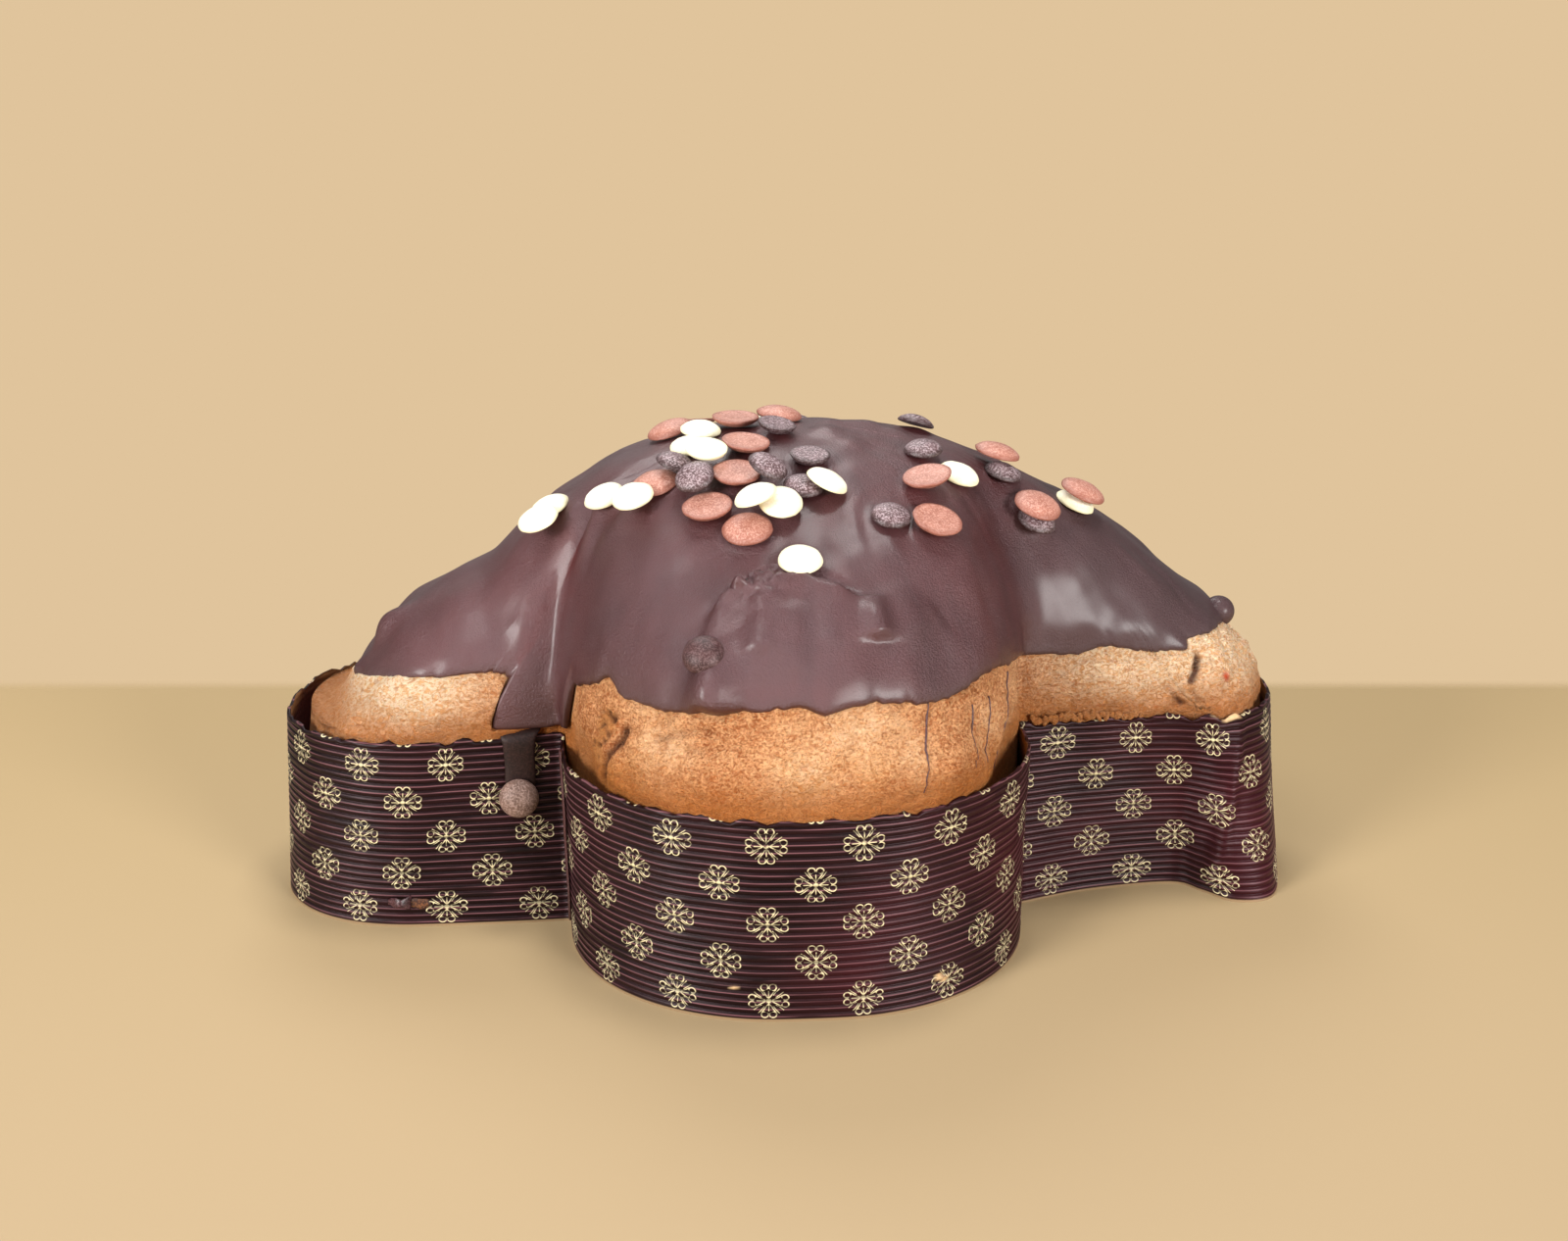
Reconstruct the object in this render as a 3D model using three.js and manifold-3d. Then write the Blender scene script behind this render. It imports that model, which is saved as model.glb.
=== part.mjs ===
// A dove-shaped Easter cake, in millimetres. X runs from the head (-) to the tail (+), the near
// wing points to -Y and Z is up. The cake stands in its corrugated paper case, under a poured
// chocolate glaze that carries chocolate discs.

import * as THREE from 'three';
import { mergeVertices } from 'three/addons/utils/BufferGeometryUtils.js';
import Module from 'manifold-3d';

const wasm = await Module();
wasm.setup();

// ---------------------------------------------------------------- driving dimensions
const LENGTH = 301.5;            // from the head's tip to the tail's tip, at the foot
const SPAN = 194;                // from wing tip to wing tip, at the foot
const CASE_HEIGHT = 56;          // rim of the paper case
const PAPER = 1.0;               // corrugated wall
const FLOOR = 1.2;               // floor of the case
const GAP = 0.3;                 // clearance between touching pieces
const POUR_GAP = 0.4;            // clearance between the cake and what is poured over it
const GLAZE_THICKNESS = 1.9;
const HEAD_LENGTH = 44;          // round end of the head
const LOBE_POWER = 2.2;          // squareness of the head and the wings

// Plan of the case at its foot and at its rim. Half widths are along Y.
const FOOT = {
  headTip: -LENGTH / 2, headHalf: 39.5, neckX: -64.75, neckY: 38.5,
  wingMid: -0.25, wingHalf: 64, wingReach: SPAN / 2, rootX: 64.75, rootY: 36.5,
  waistX: 112.75, waistHalf: 26, flareX: 128.75, flareHalf: 39, cornerX: 141, cornerHalf: 36,
  tailTip: LENGTH / 2,
};
const RIM = {
  headTip: -146.25, headHalf: 40, neckX: -65.75, neckY: 34,
  wingMid: -0.75, wingHalf: 65, wingReach: 96.5, rootX: 63.75, rootY: 35,
  waistX: 106.75, waistHalf: 31, flareX: 122.75, flareHalf: 33, cornerX: 134, cornerHalf: 26.5,
  tailTip: 143.75,
};
const FIT = PAPER + GAP + 0.15;   // from the paper's outer face to the cake
const HEAD_SLACK = 4;            // extra room where the crust has shrunk from the paper's rim
const WING_SLACK = 2.2;

// Crest heights of the cake: along the body (x, z) and along each wing (distance from the axis, z).
const BODY_CREST = [
  [-151, 56], [-133, 58], [-119, 74], [-106, 85.5], [-86, 95.5], [-69, 111], [-55, 122], [-43, 127],
  [-21, 131.5], [9, 133], [35, 132], [61, 122], [91, 106], [116, 86], [133, 76], [149, 66],
];
const WING_CREST = [[0, 133], [22, 130], [42, 120], [60, 107.5], [75, 98], [90, 90], [100, 85]];
const CREST_CURVE = 0.0085;      // how fast a crest falls off sideways
const CREST_BLEND = 10;          // softness of the valleys between the crests
const CROWN_REACH = 60;          // where the blend's lift is taken back
const SHOULDER = 24;             // width of the round edge of the dome
const HEAD_SHOULDER = 26;        // added to it at the head's tip
const RIM_LEVEL = CASE_HEIGHT + 0.5;

// Height of the glaze's lower edge on the crust, by direction from the centre (degrees, near side).
const EDGE_HEIGHT = [
  [-180, 66], [-170, 70], [-160, 73], [-150, 71.5], [-138, 78], [-129, 82], [-124, 77.5], [-110, 79.5],
  [-92, 82.5], [-76, 81.5], [-60, 80.5], [-46, 79], [-28, 73], [-20, 74], [-14.5, 76], [-12, 74], [0, 76],
];
const EDGE_RIPPLE = 0.66;        // small waves of that edge
const RIM_WAVE = 0.3;            // of the paper's rim

// The broad flow in the valley behind the head, and the drip that hangs from it over the paper.
const FLOW_FROM = -158.6;        // directions between which the glaze runs down to the rim
const FLOW_TO = -152.2;
const FLOW_HEIGHT = RIM_LEVEL + 1.6;
const DRIP = { x: -77, half: 3.8, thick: 1.2, end: 45 };

// Fused lumps of glaze: [x, y, radius along the surface, height].
const LUMPS = [
  [-4, -62, 11, 1.6], [13, -66, 9, 1.4], [25, -69, 8, 1.2], [-27, -80, 6, 2.2],
  [-113, -4, 7, 2.4], [-124, -8, 6, 1.8], [22, 2, 9, 1.6],
];
const TAIL_BLOB = { x: 127, y: -6, z: 78.6, radius: 4.6 };

// Chocolate discs by kind: diameter, thickness and looks.
const KINDS = {
  milk: { diameter: 13.8, thick: 3.2, color: 0xa06a58, roughness: 0.5 },
  white: { diameter: 12.0, thick: 3.4, color: 0xf4ecc8, roughness: 0.45 },
  dark: { diameter: 11.2, thick: 3.2, color: 0x4d3230, roughness: 0.5 },
};

// Discs from the lowest to the highest of each heap: kind, place in plan (x, y), how far the disc's
// axis tips from upright and toward which direction (degrees), and which side is up.
const DISCS = [
  ['white', -25, -4, 13, -65, 'dome'], ['white', -28, -16, 15, -95, 'dome'],
  ['dark', -32, -27, 28, -30, 'dome'], ['milk', -13, -21, 14, -60, 'flat'],
  ['milk', -16, -34.5, 22, -90, 'flat'], ['white', -24, -27, 24, -75, 'flat'],
  ['milk', -38, -29, 28, -130, 'dome'], ['dark', 4, -29, 18, -80, 'flat'],
  ['dark', 1.5, -40, 26, -80, 'dome'], ['dark', -7.5, -38, 42, -40, 'dome'],
  ['milk', -24, -44.5, 26, -115, 'flat'], ['dark', -27.5, -38, 50, -120, 'dome'],
  ['milk', -14, -52, 33, -105, 'dome'], ['white', -5, -48.5, 40, -85, 'dome'],
  ['white', -12, -50, 30, -160, 'dome'],
  ['white', 8, -41.5, 38, -20, 'dome'], ['milk', -2, 8, 10, -20, 'dome'],
  ['dark', -4, -10, 20, -45, 'flat'], ['milk', -34, 5, 26, -160, 'dome'],
  ['milk', -15, 2, 6, -80, 'flat'],
  ['white', -1, -63, 30, -92, 'dome'],
  ['white', -52, -25, 34, -140, 'dome'], ['white', -44, -36, 34, -125, 'dome'],
  ['white', -68, -13, 34, -150, 'dome'], ['white', -70.5, -21.5, 38, -135, 'dome'],
  ['dark', 38, 9, 30, 40, 'dome'], ['dark', 36, -20, 16, -100, 'dome'],
  ['white', 45.5, -25.5, 32, -45, 'dome'], ['milk', 35, -36, 22, -130, 'flat'],
  ['dark', 60, -14, 26, -40, 'dome'], ['milk', 59, -9, 20, -20, 'dome'],
  ['dark', 24, -48, 30, -75, 'dome'], ['milk', 36, -48, 36, -60, 'flat'],
  ['dark', 68, -24, 40, -60, 'dome'], ['milk', 68, -24, 36, -55, 'dome'],
  ['white', 82, -10, 34, -30, 'dome'], ['milk', 84, -10, 34, -30, 'dome'],
  ['milk', -27, 24, 18, 100, 'flat'], ['white', -10, 33, 22, 90, 'dome'],
  ['dark', 4, 36, 16, 80, 'dome'], ['milk', 17, 47, 30, 85, 'dome'],
  ['white', 31, 44, 30, 75, 'dome'], ['dark', -37, 43, 38, 120, 'flat'],
  ['milk', 47, 36, 34, 60, 'flat'], ['white', 62, 28, 36, 50, 'dome'],
  ['dark', 24, 62, 34, 85, 'dome'], ['milk', -17, 52, 34, 95, 'dome'],
  ['white', -54, 33, 38, 135, 'dome'], ['dark', 76, 24, 38, 50, 'flat'],
];

// Two rounded chocolate drops: one on the near wing, one caught at the end of the drip.
const WING_DROP = { x: -26, y: -76.5, radius: 5.3, height: 4.6 };
const DRIP_DROP = { x: -77.5, z: 38.8, radius: 5.4, height: 5.6 };

const ROWS = { crust: 3, dome: 10 };
const DISC_SIDES = 10;
const DROP_SIDES = 14;
const DRIP_SIDES = 10;
const SETTLE_STEP = 0.5;         // of the search for a disc's resting height
const HALVINGS = { disc: 4, drop: 12, spoke: 24 };
const HEAP_REACH = 16;           // discs further apart than this can't touch

// ---------------------------------------------------------------- plan outlines
const radians = THREE.MathUtils.degToRad;

function lobeArc(centreX, centreY, radiusX, radiusY, from, to, count) {
  return Array.from({ length: count }, (_, i) => {
    const angle = radians(from + ((to - from) * i) / count);
    const [c, s] = [Math.cos(angle), Math.sin(angle)];
    return new THREE.Vector2(
      centreX + radiusX * Math.sign(c) * Math.abs(c) ** (2 / LOBE_POWER),
      centreY + radiusY * Math.sign(s) * Math.abs(s) ** (2 / LOBE_POWER));
  });
}

function smoothRun(points, perSpan) {
  const curve = new THREE.SplineCurve(points.map(([x, y]) => new THREE.Vector2(x, y)));
  return curve.getPoints(perSpan * (points.length - 1));
}

// Near half from the head's tip to the tail's tip, then its mirror image back to the head.
function planOutline(plan) {
  const headX = plan.headTip + HEAD_LENGTH;
  const neckMid = (plan.headHalf + plan.neckY) / 2 + 0.3;
  const { waistX, waistHalf, flareX, flareHalf, tailTip } = plan;
  const side = smoothRun([[headX, -plan.headHalf], [-85, -neckMid], [plan.neckX, -plan.neckY]], 4);
  const tail = smoothRun([
    [plan.rootX, -plan.rootY], [87, -(0.3 * plan.rootY + 0.7 * waistHalf)], [waistX, -waistHalf],
    [(waistX + flareX) / 2, -(0.55 * waistHalf + 0.45 * flareHalf)], [flareX, -flareHalf],
    [plan.cornerX, -plan.cornerHalf], [tailTip - 1.5, -14], [tailTip, 0], [tailTip - 1.5, 14],
  ], 3);
  const near = [
    ...lobeArc(headX, 0, HEAD_LENGTH, plan.headHalf, 180, 270, 8),
    ...side.slice(0, -1),
    ...lobeArc(plan.wingMid, -plan.neckY, plan.wingHalf, plan.wingReach - plan.neckY, 180, 360, 20),
    ...tail.slice(0, -3),
  ];
  const far = near.slice(1, -1).reverse().map((p) => new THREE.Vector2(p.x, -p.y));
  return [...near, ...far];
}

function outwardNormals(ring) {
  return ring.map((_, i) => {
    const before = ring.at(i - 1);
    const after = ring[(i + 1) % ring.length];
    return new THREE.Vector2(after.y - before.y, before.x - after.x).normalize();
  });
}

function inset(ring, amount) {
  const normals = outwardNormals(ring);
  const depth = typeof amount === 'function' ? amount : () => amount;
  return ring.map((p, i) => p.clone().addScaledVector(normals[i], -depth(p)));
}

function blendRings(a, b, share) {
  return a.map((p, i) => p.clone().lerp(b[i], share));
}

// ---------------------------------------------------------------- height of the cake
function smoothTable(knots, at) {
  const x = THREE.MathUtils.clamp(at, knots[0][0], knots.at(-1)[0]);
  let i = 0;
  while (i < knots.length - 2 && x > knots[i + 1][0]) i += 1;
  const slope = (k) => {
    const a = knots[Math.max(k - 1, 0)];
    const b = knots[Math.min(k + 1, knots.length - 1)];
    return (b[1] - a[1]) / (b[0] - a[0]);
  };
  const step = knots[i + 1][0] - knots[i][0];
  const t = (x - knots[i][0]) / step;
  return (2 * t ** 3 - 3 * t ** 2 + 1) * knots[i][1] + (t ** 3 - 2 * t ** 2 + t) * step * slope(i)
    + (3 * t ** 2 - 2 * t ** 3) * knots[i + 1][1] + (t ** 3 - t ** 2) * step * slope(i + 1);
}

function crestHeight(x, y) {
  const body = smoothTable(BODY_CREST, x) - CREST_CURVE * y * y;
  const wing = smoothTable(WING_CREST, Math.abs(y)) - CREST_CURVE * x * x;
  const blend = CREST_BLEND * Math.log(Math.exp(body / CREST_BLEND) + Math.exp(wing / CREST_BLEND));
  return blend - CREST_BLEND * Math.LN2 * Math.exp(-(x * x + y * y) / CROWN_REACH ** 2);
}

// Room between crust and paper at the rim, widest at the head's tip and the wings' shoulders.
function slack(p) {
  const head = THREE.MathUtils.smoothstep(-p.x, 112, 146);
  const wing = THREE.MathUtils.smoothstep(Math.abs(p.y), 36, 46)
    * THREE.MathUtils.smoothstep(Math.abs(p.x), 28, 60);
  return FIT + HEAD_SLACK * head + WING_SLACK * wing;
}

const crustRing = inset(planOutline(RIM), slack);
const crustNormals = outwardNormals(crustRing);

function distanceToCrust(x, y) {
  const here = new THREE.Vector3(x, y, 0);
  const near = new THREE.Vector3();
  const edge = new THREE.Line3();
  let best = Infinity;
  crustRing.forEach((p, i) => {
    const q = crustRing[(i + 1) % crustRing.length];
    edge.start.set(p.x, p.y, 0);
    edge.end.set(q.x, q.y, 0);
    edge.closestPointToPoint(here, true, near);
    best = Math.min(best, near.distanceTo(here));
  });
  return best;
}

function cakeHeight(x, y) {
  const width = SHOULDER + HEAD_SHOULDER * THREE.MathUtils.clamp((-x - 96) / 40, 0, 1);
  const share = Math.min(distanceToCrust(x, y) / width, 1);
  const rise = (1 - (1 - share) ** LOBE_POWER) ** (1 / LOBE_POWER);
  return RIM_LEVEL + rise * (crestHeight(x, y) - RIM_LEVEL);
}

function glazeEdgeHeight(x, y) {
  const direction = THREE.MathUtils.radToDeg(Math.atan2(y, x));
  if (direction > FLOW_FROM && direction < FLOW_TO) return FLOW_HEIGHT;
  const ripple = Math.sin(0.42 * (x + 0.6 * y)) + 0.6 * Math.sin(0.9 * (x - y));
  return smoothTable(EDGE_HEIGHT, -Math.abs(direction)) + EDGE_RIPPLE * ripple;
}

// How far along a spoke (1 at the crust's outline, 0 at the centre) the cake reaches a height.
function shareAtHeight(rimPoint, height) {
  let [outer, inner] = [1, 0.6];
  for (let step = 0; step < HALVINGS.spoke; step += 1) {
    const middle = (outer + inner) / 2;
    if (cakeHeight(rimPoint.x * middle, rimPoint.y * middle) < height) outer = middle;
    else inner = middle;
  }
  return (outer + inner) / 2;
}

// The baked crust swells a little over the paper's rim, except in the valleys.
function crustSwell(rimPoint, height) {
  const open = THREE.MathUtils.smoothstep(Math.hypot(rimPoint.x, rimPoint.y), 86, 96);
  const lumps = 0.9 + 0.3 * Math.sin(0.31 * rimPoint.x + 0.23 * rimPoint.y);
  return open * lumps * Math.sin(Math.PI * THREE.MathUtils.clamp((height - RIM_LEVEL) / 18, 0, 1));
}

// Rows of points over the dome, from the rim to the last row before the crown.
function domeRows() {
  const spokes = crustRing.map((p, i) => {
    const edge = glazeEdgeHeight(p.x, p.y);
    const edgeShare = shareAtHeight(p, edge);
    const crust = Array.from({ length: ROWS.crust }, (_, row) => {
      const height = RIM_LEVEL + ((edge - RIM_LEVEL) * row) / ROWS.crust;
      const share = row === 0 ? 1 : shareAtHeight(p, height);
      const swell = crustSwell(p, height);
      return new THREE.Vector3(p.x * share + crustNormals[i].x * swell,
        p.y * share + crustNormals[i].y * swell, height);
    });
    const dome = Array.from({ length: ROWS.dome }, (_, row) => {
      const share = edgeShare * (1 - (row / ROWS.dome) ** 1.5);
      const [x, y] = [p.x * share, p.y * share];
      return new THREE.Vector3(x, y, cakeHeight(x, y));
    });
    return [...crust, ...dome];
  });
  return spokes[0].map((_, row) => spokes.map((spoke) => spoke[row]));
}

// ---------------------------------------------------------------- meshes from rings
// A closed skin through rings of equal length, each counter-clockwise seen along the stack, with a
// lid of the kind that fits: a fan to a point, or flat triangles for a shape that a fan can't fill.
function stackRings(rings, { start, end }) {
  const count = rings[0].length;
  const points = rings.flat();
  const faces = [];
  for (let row = 0; row + 1 < rings.length; row += 1) {
    for (let i = 0; i < count; i += 1) {
      const j = (i + 1) % count;
      const [low, high] = [row * count, (row + 1) * count];
      faces.push(low + i, low + j, high + j, low + i, high + j, high + i);
    }
  }
  const close = (lid, first, flip) => {
    if (lid === 'flat') {
      const flat = points.slice(first, first + count).map((p) => new THREE.Vector2(p.x, p.y));
      const ringSense = Math.sign(THREE.ShapeUtils.area(flat));
      for (const [a, b, c] of THREE.ShapeUtils.triangulateShape(flat, [])) {
        const sense = Math.sign(THREE.ShapeUtils.area([flat[a], flat[b], flat[c]]));
        const same = (sense === ringSense) !== flip;
        faces.push(...(same ? [a, b, c] : [a, c, b]).map((k) => k + first));
      }
      return;
    }
    points.push(lid);
    for (let i = 0; i < count; i += 1) {
      const pair = [first + i, first + ((i + 1) % count)];
      faces.push(...(flip ? pair.reverse() : pair), points.length - 1);
    }
  };
  close(start, 0, true);
  close(end, (rings.length - 1) * count, false);
  const geometry = new THREE.BufferGeometry();
  const coordinates = points.flatMap((p) => [p.x, p.y, p.z]);
  geometry.setAttribute('position', new THREE.Float32BufferAttribute(coordinates, 3));
  geometry.setIndex(faces);
  return geometry;
}

function atHeight(ring, height) {
  return ring.map((p) => new THREE.Vector3(p.x, p.y, height(p)));
}

function toSolid(geometry) {
  const bare = geometry.clone();
  bare.deleteAttribute('normal');
  bare.deleteAttribute('uv');
  const merged = mergeVertices(bare, 1e-4);
  return new wasm.Manifold(new wasm.Mesh({
    numProp: 3,
    vertProperties: new Float32Array(merged.getAttribute('position').array),
    triVerts: new Uint32Array(merged.getIndex().array),
  }));
}

function toGeometry(solid) {
  const mesh = solid.getMesh();
  const geometry = new THREE.BufferGeometry();
  geometry.setAttribute('position', new THREE.BufferAttribute(new Float32Array(mesh.vertProperties), 3));
  geometry.setIndex(new THREE.BufferAttribute(new Uint32Array(mesh.triVerts), 1));
  return geometry;
}

function named(name, geometry, color, roughness) {
  const material = new THREE.MeshStandardMaterial({ color, roughness, metalness: 0 });
  const mesh = new THREE.Mesh(geometry, material);
  mesh.name = name;
  return mesh;
}

// ---------------------------------------------------------------- paper case
function paperCase() {
  const [foot, rim] = [planOutline(FOOT), planOutline(RIM)];
  const rimWave = (p) => CASE_HEIGHT - RIM_WAVE * (1 - Math.sin(0.52 * p.x + 0.31 * p.y));
  const lids = { start: 'flat', end: 'flat' };
  const outside = toSolid(stackRings([atHeight(foot, () => 0), atHeight(rim, rimWave)], lids));
  const hollowFoot = atHeight(inset(foot, PAPER), () => FLOOR);
  const hollowRim = atHeight(inset(rim, PAPER), () => CASE_HEIGHT + 1);
  const inside = toSolid(stackRings([hollowFoot, hollowRim], lids));
  return named('paper_case', toGeometry(outside.subtract(inside)), 0x4a2a2c, 0.55);
}

// ---------------------------------------------------------------- cake
const dome = domeRows();
const crown = new THREE.Vector3(0, 0, cakeHeight(0, 0));

function cake() {
  const rings = [atHeight(inset(planOutline(FOOT), FIT), () => FLOOR + GAP), ...dome];
  return named('cake', stackRings(rings, { start: 'flat', end: crown }), 0xd09a5c, 0.85);
}

// ---------------------------------------------------------------- glaze
// Unit normal of the dome at one of its points, from the neighbours along the row and up the spoke.
function domeNormal(row, i) {
  const ring = dome[row];
  const along = ring[(i + 1) % ring.length].clone().sub(ring.at(i - 1));
  const above = dome[row + 1] ? dome[row + 1][i] : crown;
  const below = dome[Math.max(row - 1, 0)][i];
  return along.cross(above.clone().sub(below)).normalize();
}

function lumpHeight(x, y) {
  return LUMPS.reduce((sum, [lumpX, lumpY, radius, height]) =>
    sum + height * Math.exp(-((x - lumpX) ** 2 + (y - lumpY) ** 2) / (0.5 * radius ** 2)), 0);
}

function liftRow(row, depth) {
  return dome[row].map((p, i) => p.clone().addScaledVector(domeNormal(row, i), depth(p)));
}

function lifted(point, depth) {
  return point.clone().add(new THREE.Vector3(0, 0, depth));
}

// The cake grown by the clearance, which is taken out of everything poured over it.
function cakeGuard() {
  const rows = dome.map((_, row) => liftRow(row, () => POUR_GAP));
  const bottom = rows[0].map((p) => new THREE.Vector3(p.x, p.y, CASE_HEIGHT / 2));
  return toSolid(stackRings([bottom, ...rows], { start: 'flat', end: lifted(crown, POUR_GAP) }));
}

function pouredGlaze() {
  const depth = (p) => POUR_GAP + GLAZE_THICKNESS + lumpHeight(p.x, p.y);
  const rows = dome.slice(ROWS.crust).map((_, r) => liftRow(r + ROWS.crust, depth));
  const inside = dome[ROWS.crust].map((p) => new THREE.Vector3(0.97 * p.x, 0.97 * p.y, p.z));
  const top = lifted(crown, depth(crown));
  return toSolid(stackRings([inside, ...rows], { start: 'flat', end: top }));
}

// Outer face of the paper at the near side of the neck, at a place along X and a height.
function paperFace(x, height) {
  const ring = blendRings(planOutline(FOOT), planOutline(RIM), height / CASE_HEIGHT);
  const i = ring.findIndex((p, k) => p.y < 0 && p.x <= x && ring[k + 1].x > x);
  const share = (x - ring[i].x) / (ring[i + 1].x - ring[i].x);
  return THREE.MathUtils.lerp(ring[i].y, ring[i + 1].y, share);
}

// The drip leaves the flow above the rim, steps over the paper and hangs outside it. Its places are
// given as distance out from the paper's outer face, height and half width.
function hangingDrip() {
  const { x, half, thick, end } = DRIP;
  const path = [
    [0.2, 62.5, 1.5 * half], [0.7, 59.8, 1.3 * half], [1.7, 58, 1.15 * half],
    [2, 55, half], [2, 50, 0.95 * half], [2, end, 0.9 * half],
  ];
  const rings = path.map(([out, height, width]) => Array.from({ length: DRIP_SIDES }, (_, i) => {
    const angle = (2 * Math.PI * i) / DRIP_SIDES;
    const place = x + width * Math.cos(angle);
    const wall = paperFace(place, Math.min(height, CASE_HEIGHT));
    return new THREE.Vector3(place, wall - out - thick * Math.sin(angle), height);
  }));
  return toSolid(stackRings(rings, { start: 'flat', end: 'flat' }));
}

function tailBlob() {
  const ball = new THREE.SphereGeometry(TAIL_BLOB.radius, 12, 8);
  ball.translate(TAIL_BLOB.x, TAIL_BLOB.y, TAIL_BLOB.z);
  return toSolid(ball);
}

const glazeSolid = pouredGlaze().add(hangingDrip()).add(tailBlob()).subtract(cakeGuard());

function glaze() {
  return named('glaze', toGeometry(glazeSolid), 0x4f3230, 0.35);
}

// ---------------------------------------------------------------- discs and drops
// A poured disc: flat below, round edge, low dome above, centred on its mid height.
function discGeometry(radius, thick) {
  const profile = [[0, 0], [0.86, 0], [1, 0.36], [0.7, 0.84], [0, 1]];
  const points = profile.map(([r, z]) => new THREE.Vector2(r * radius, (z - 0.5) * thick));
  return new THREE.LatheGeometry(points, DISC_SIDES).rotateX(Math.PI / 2);
}

function turn(tip, toward, side) {
  const axis = new THREE.Vector3(-Math.sin(radians(toward)), Math.cos(radians(toward)), 0);
  const lean = new THREE.Quaternion().setFromAxisAngle(axis, radians(tip));
  const over = side === 'flat' ? Math.PI : 0;
  const flip = new THREE.Quaternion().setFromAxisAngle(new THREE.Vector3(1, 0, 0), over);
  return lean.multiply(flip);
}

// The lowest height at which a disc lies clear of everything placed before it.
function restingHeight(grown, obstacles, from) {
  const blocked = (z) => {
    const trial = grown.translate(0, 0, z);
    return obstacles.some((other) => !trial.intersect(other).isEmpty());
  };
  let free = from;
  while (blocked(free)) free += SETTLE_STEP;
  let low = free - SETTLE_STEP;
  for (let step = 0; step < HALVINGS.disc; step += 1) {
    const middle = (free + low) / 2;
    if (blocked(middle)) low = middle;
    else free = middle;
  }
  return free;
}

function discs() {
  const placed = [];
  const counts = { milk: 0, white: 0, dark: 0 };
  return DISCS.map(([kind, x, y, tip, toward, side]) => {
    const { diameter, thick, color, roughness } = KINDS[kind];
    const matrix = new THREE.Matrix4().makeRotationFromQuaternion(turn(tip, toward, side));
    matrix.setPosition(x, y, 0);
    const grown = toSolid(discGeometry(diameter / 2 + GAP, thick + 2 * GAP).applyMatrix4(matrix));
    const close = placed.filter((other) => Math.hypot(other.x - x, other.y - y) < HEAP_REACH);
    const obstacles = [glazeSolid, ...close.map((other) => other.solid)];
    const z = restingHeight(grown, obstacles, cakeHeight(x, y));
    const geometry = discGeometry(diameter / 2, thick).applyMatrix4(matrix.setPosition(x, y, z));
    placed.push({ x, y, solid: toSolid(geometry) });
    counts[kind] += 1;
    const label = String(counts[kind]).padStart(2, '0');
    return named(`disc_${kind}_${label}`, geometry, color, roughness);
  });
}

function dropGeometry({ radius, height }) {
  const profile = [[0, 0], [0.9, 0], [1, 0.22], [0.88, 0.62], [0.5, 0.92], [0, 1]];
  const points = profile.map(([r, z]) => new THREE.Vector2(r * radius, z * height));
  return new THREE.LatheGeometry(points, DROP_SIDES).rotateX(Math.PI / 2);
}

function wingDrop() {
  const { x, y } = WING_DROP;
  const step = 1;
  const slopeX = (cakeHeight(x + step, y) - cakeHeight(x - step, y)) / (2 * step);
  const slopeY = (cakeHeight(x, y + step) - cakeHeight(x, y - step)) / (2 * step);
  const normal = new THREE.Vector3(-slopeX, -slopeY, 1).normalize();
  const geometry = dropGeometry(WING_DROP)
    .applyQuaternion(new THREE.Quaternion().setFromUnitVectors(new THREE.Vector3(0, 0, 1), normal));
  const surface = new THREE.Vector3(x, y, cakeHeight(x, y));
  const lift = restingLift(toSolid(geometry), surface, normal);
  return named('drop_wing', geometry.translate(...surface.addScaledVector(normal, lift).toArray()),
    KINDS.dark.color, 0.4);
}

function restingLift(solid, start, normal) {
  let [far, near] = [8, 0];
  for (let step = 0; step < HALVINGS.drop; step += 1) {
    const middle = (far + near) / 2;
    const place = start.clone().addScaledVector(normal, middle);
    if (solid.translate(place.x, place.y, place.z).intersect(glazeSolid).isEmpty()) far = middle;
    else near = middle;
  }
  return far + GAP;
}

function dripDrop() {
  const { x, z, radius } = DRIP_DROP;
  const wall = paperFace(x - radius, z);
  const geometry = dropGeometry(DRIP_DROP).rotateX(Math.PI / 2).translate(x, wall - 2 * GAP, z);
  return named('drop_drip_end', geometry, 0x8a6454, 0.55);
}

// ---------------------------------------------------------------- the whole
const colomba = new THREE.Group();
colomba.add(paperCase(), cake(), glaze(), ...discs(), wingDrop(), dripDrop());

export default colomba;
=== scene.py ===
import math

import bpy
import numpy as np
from mathutils import Matrix, Vector
from mathutils.bvhtree import BVHTree


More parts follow.
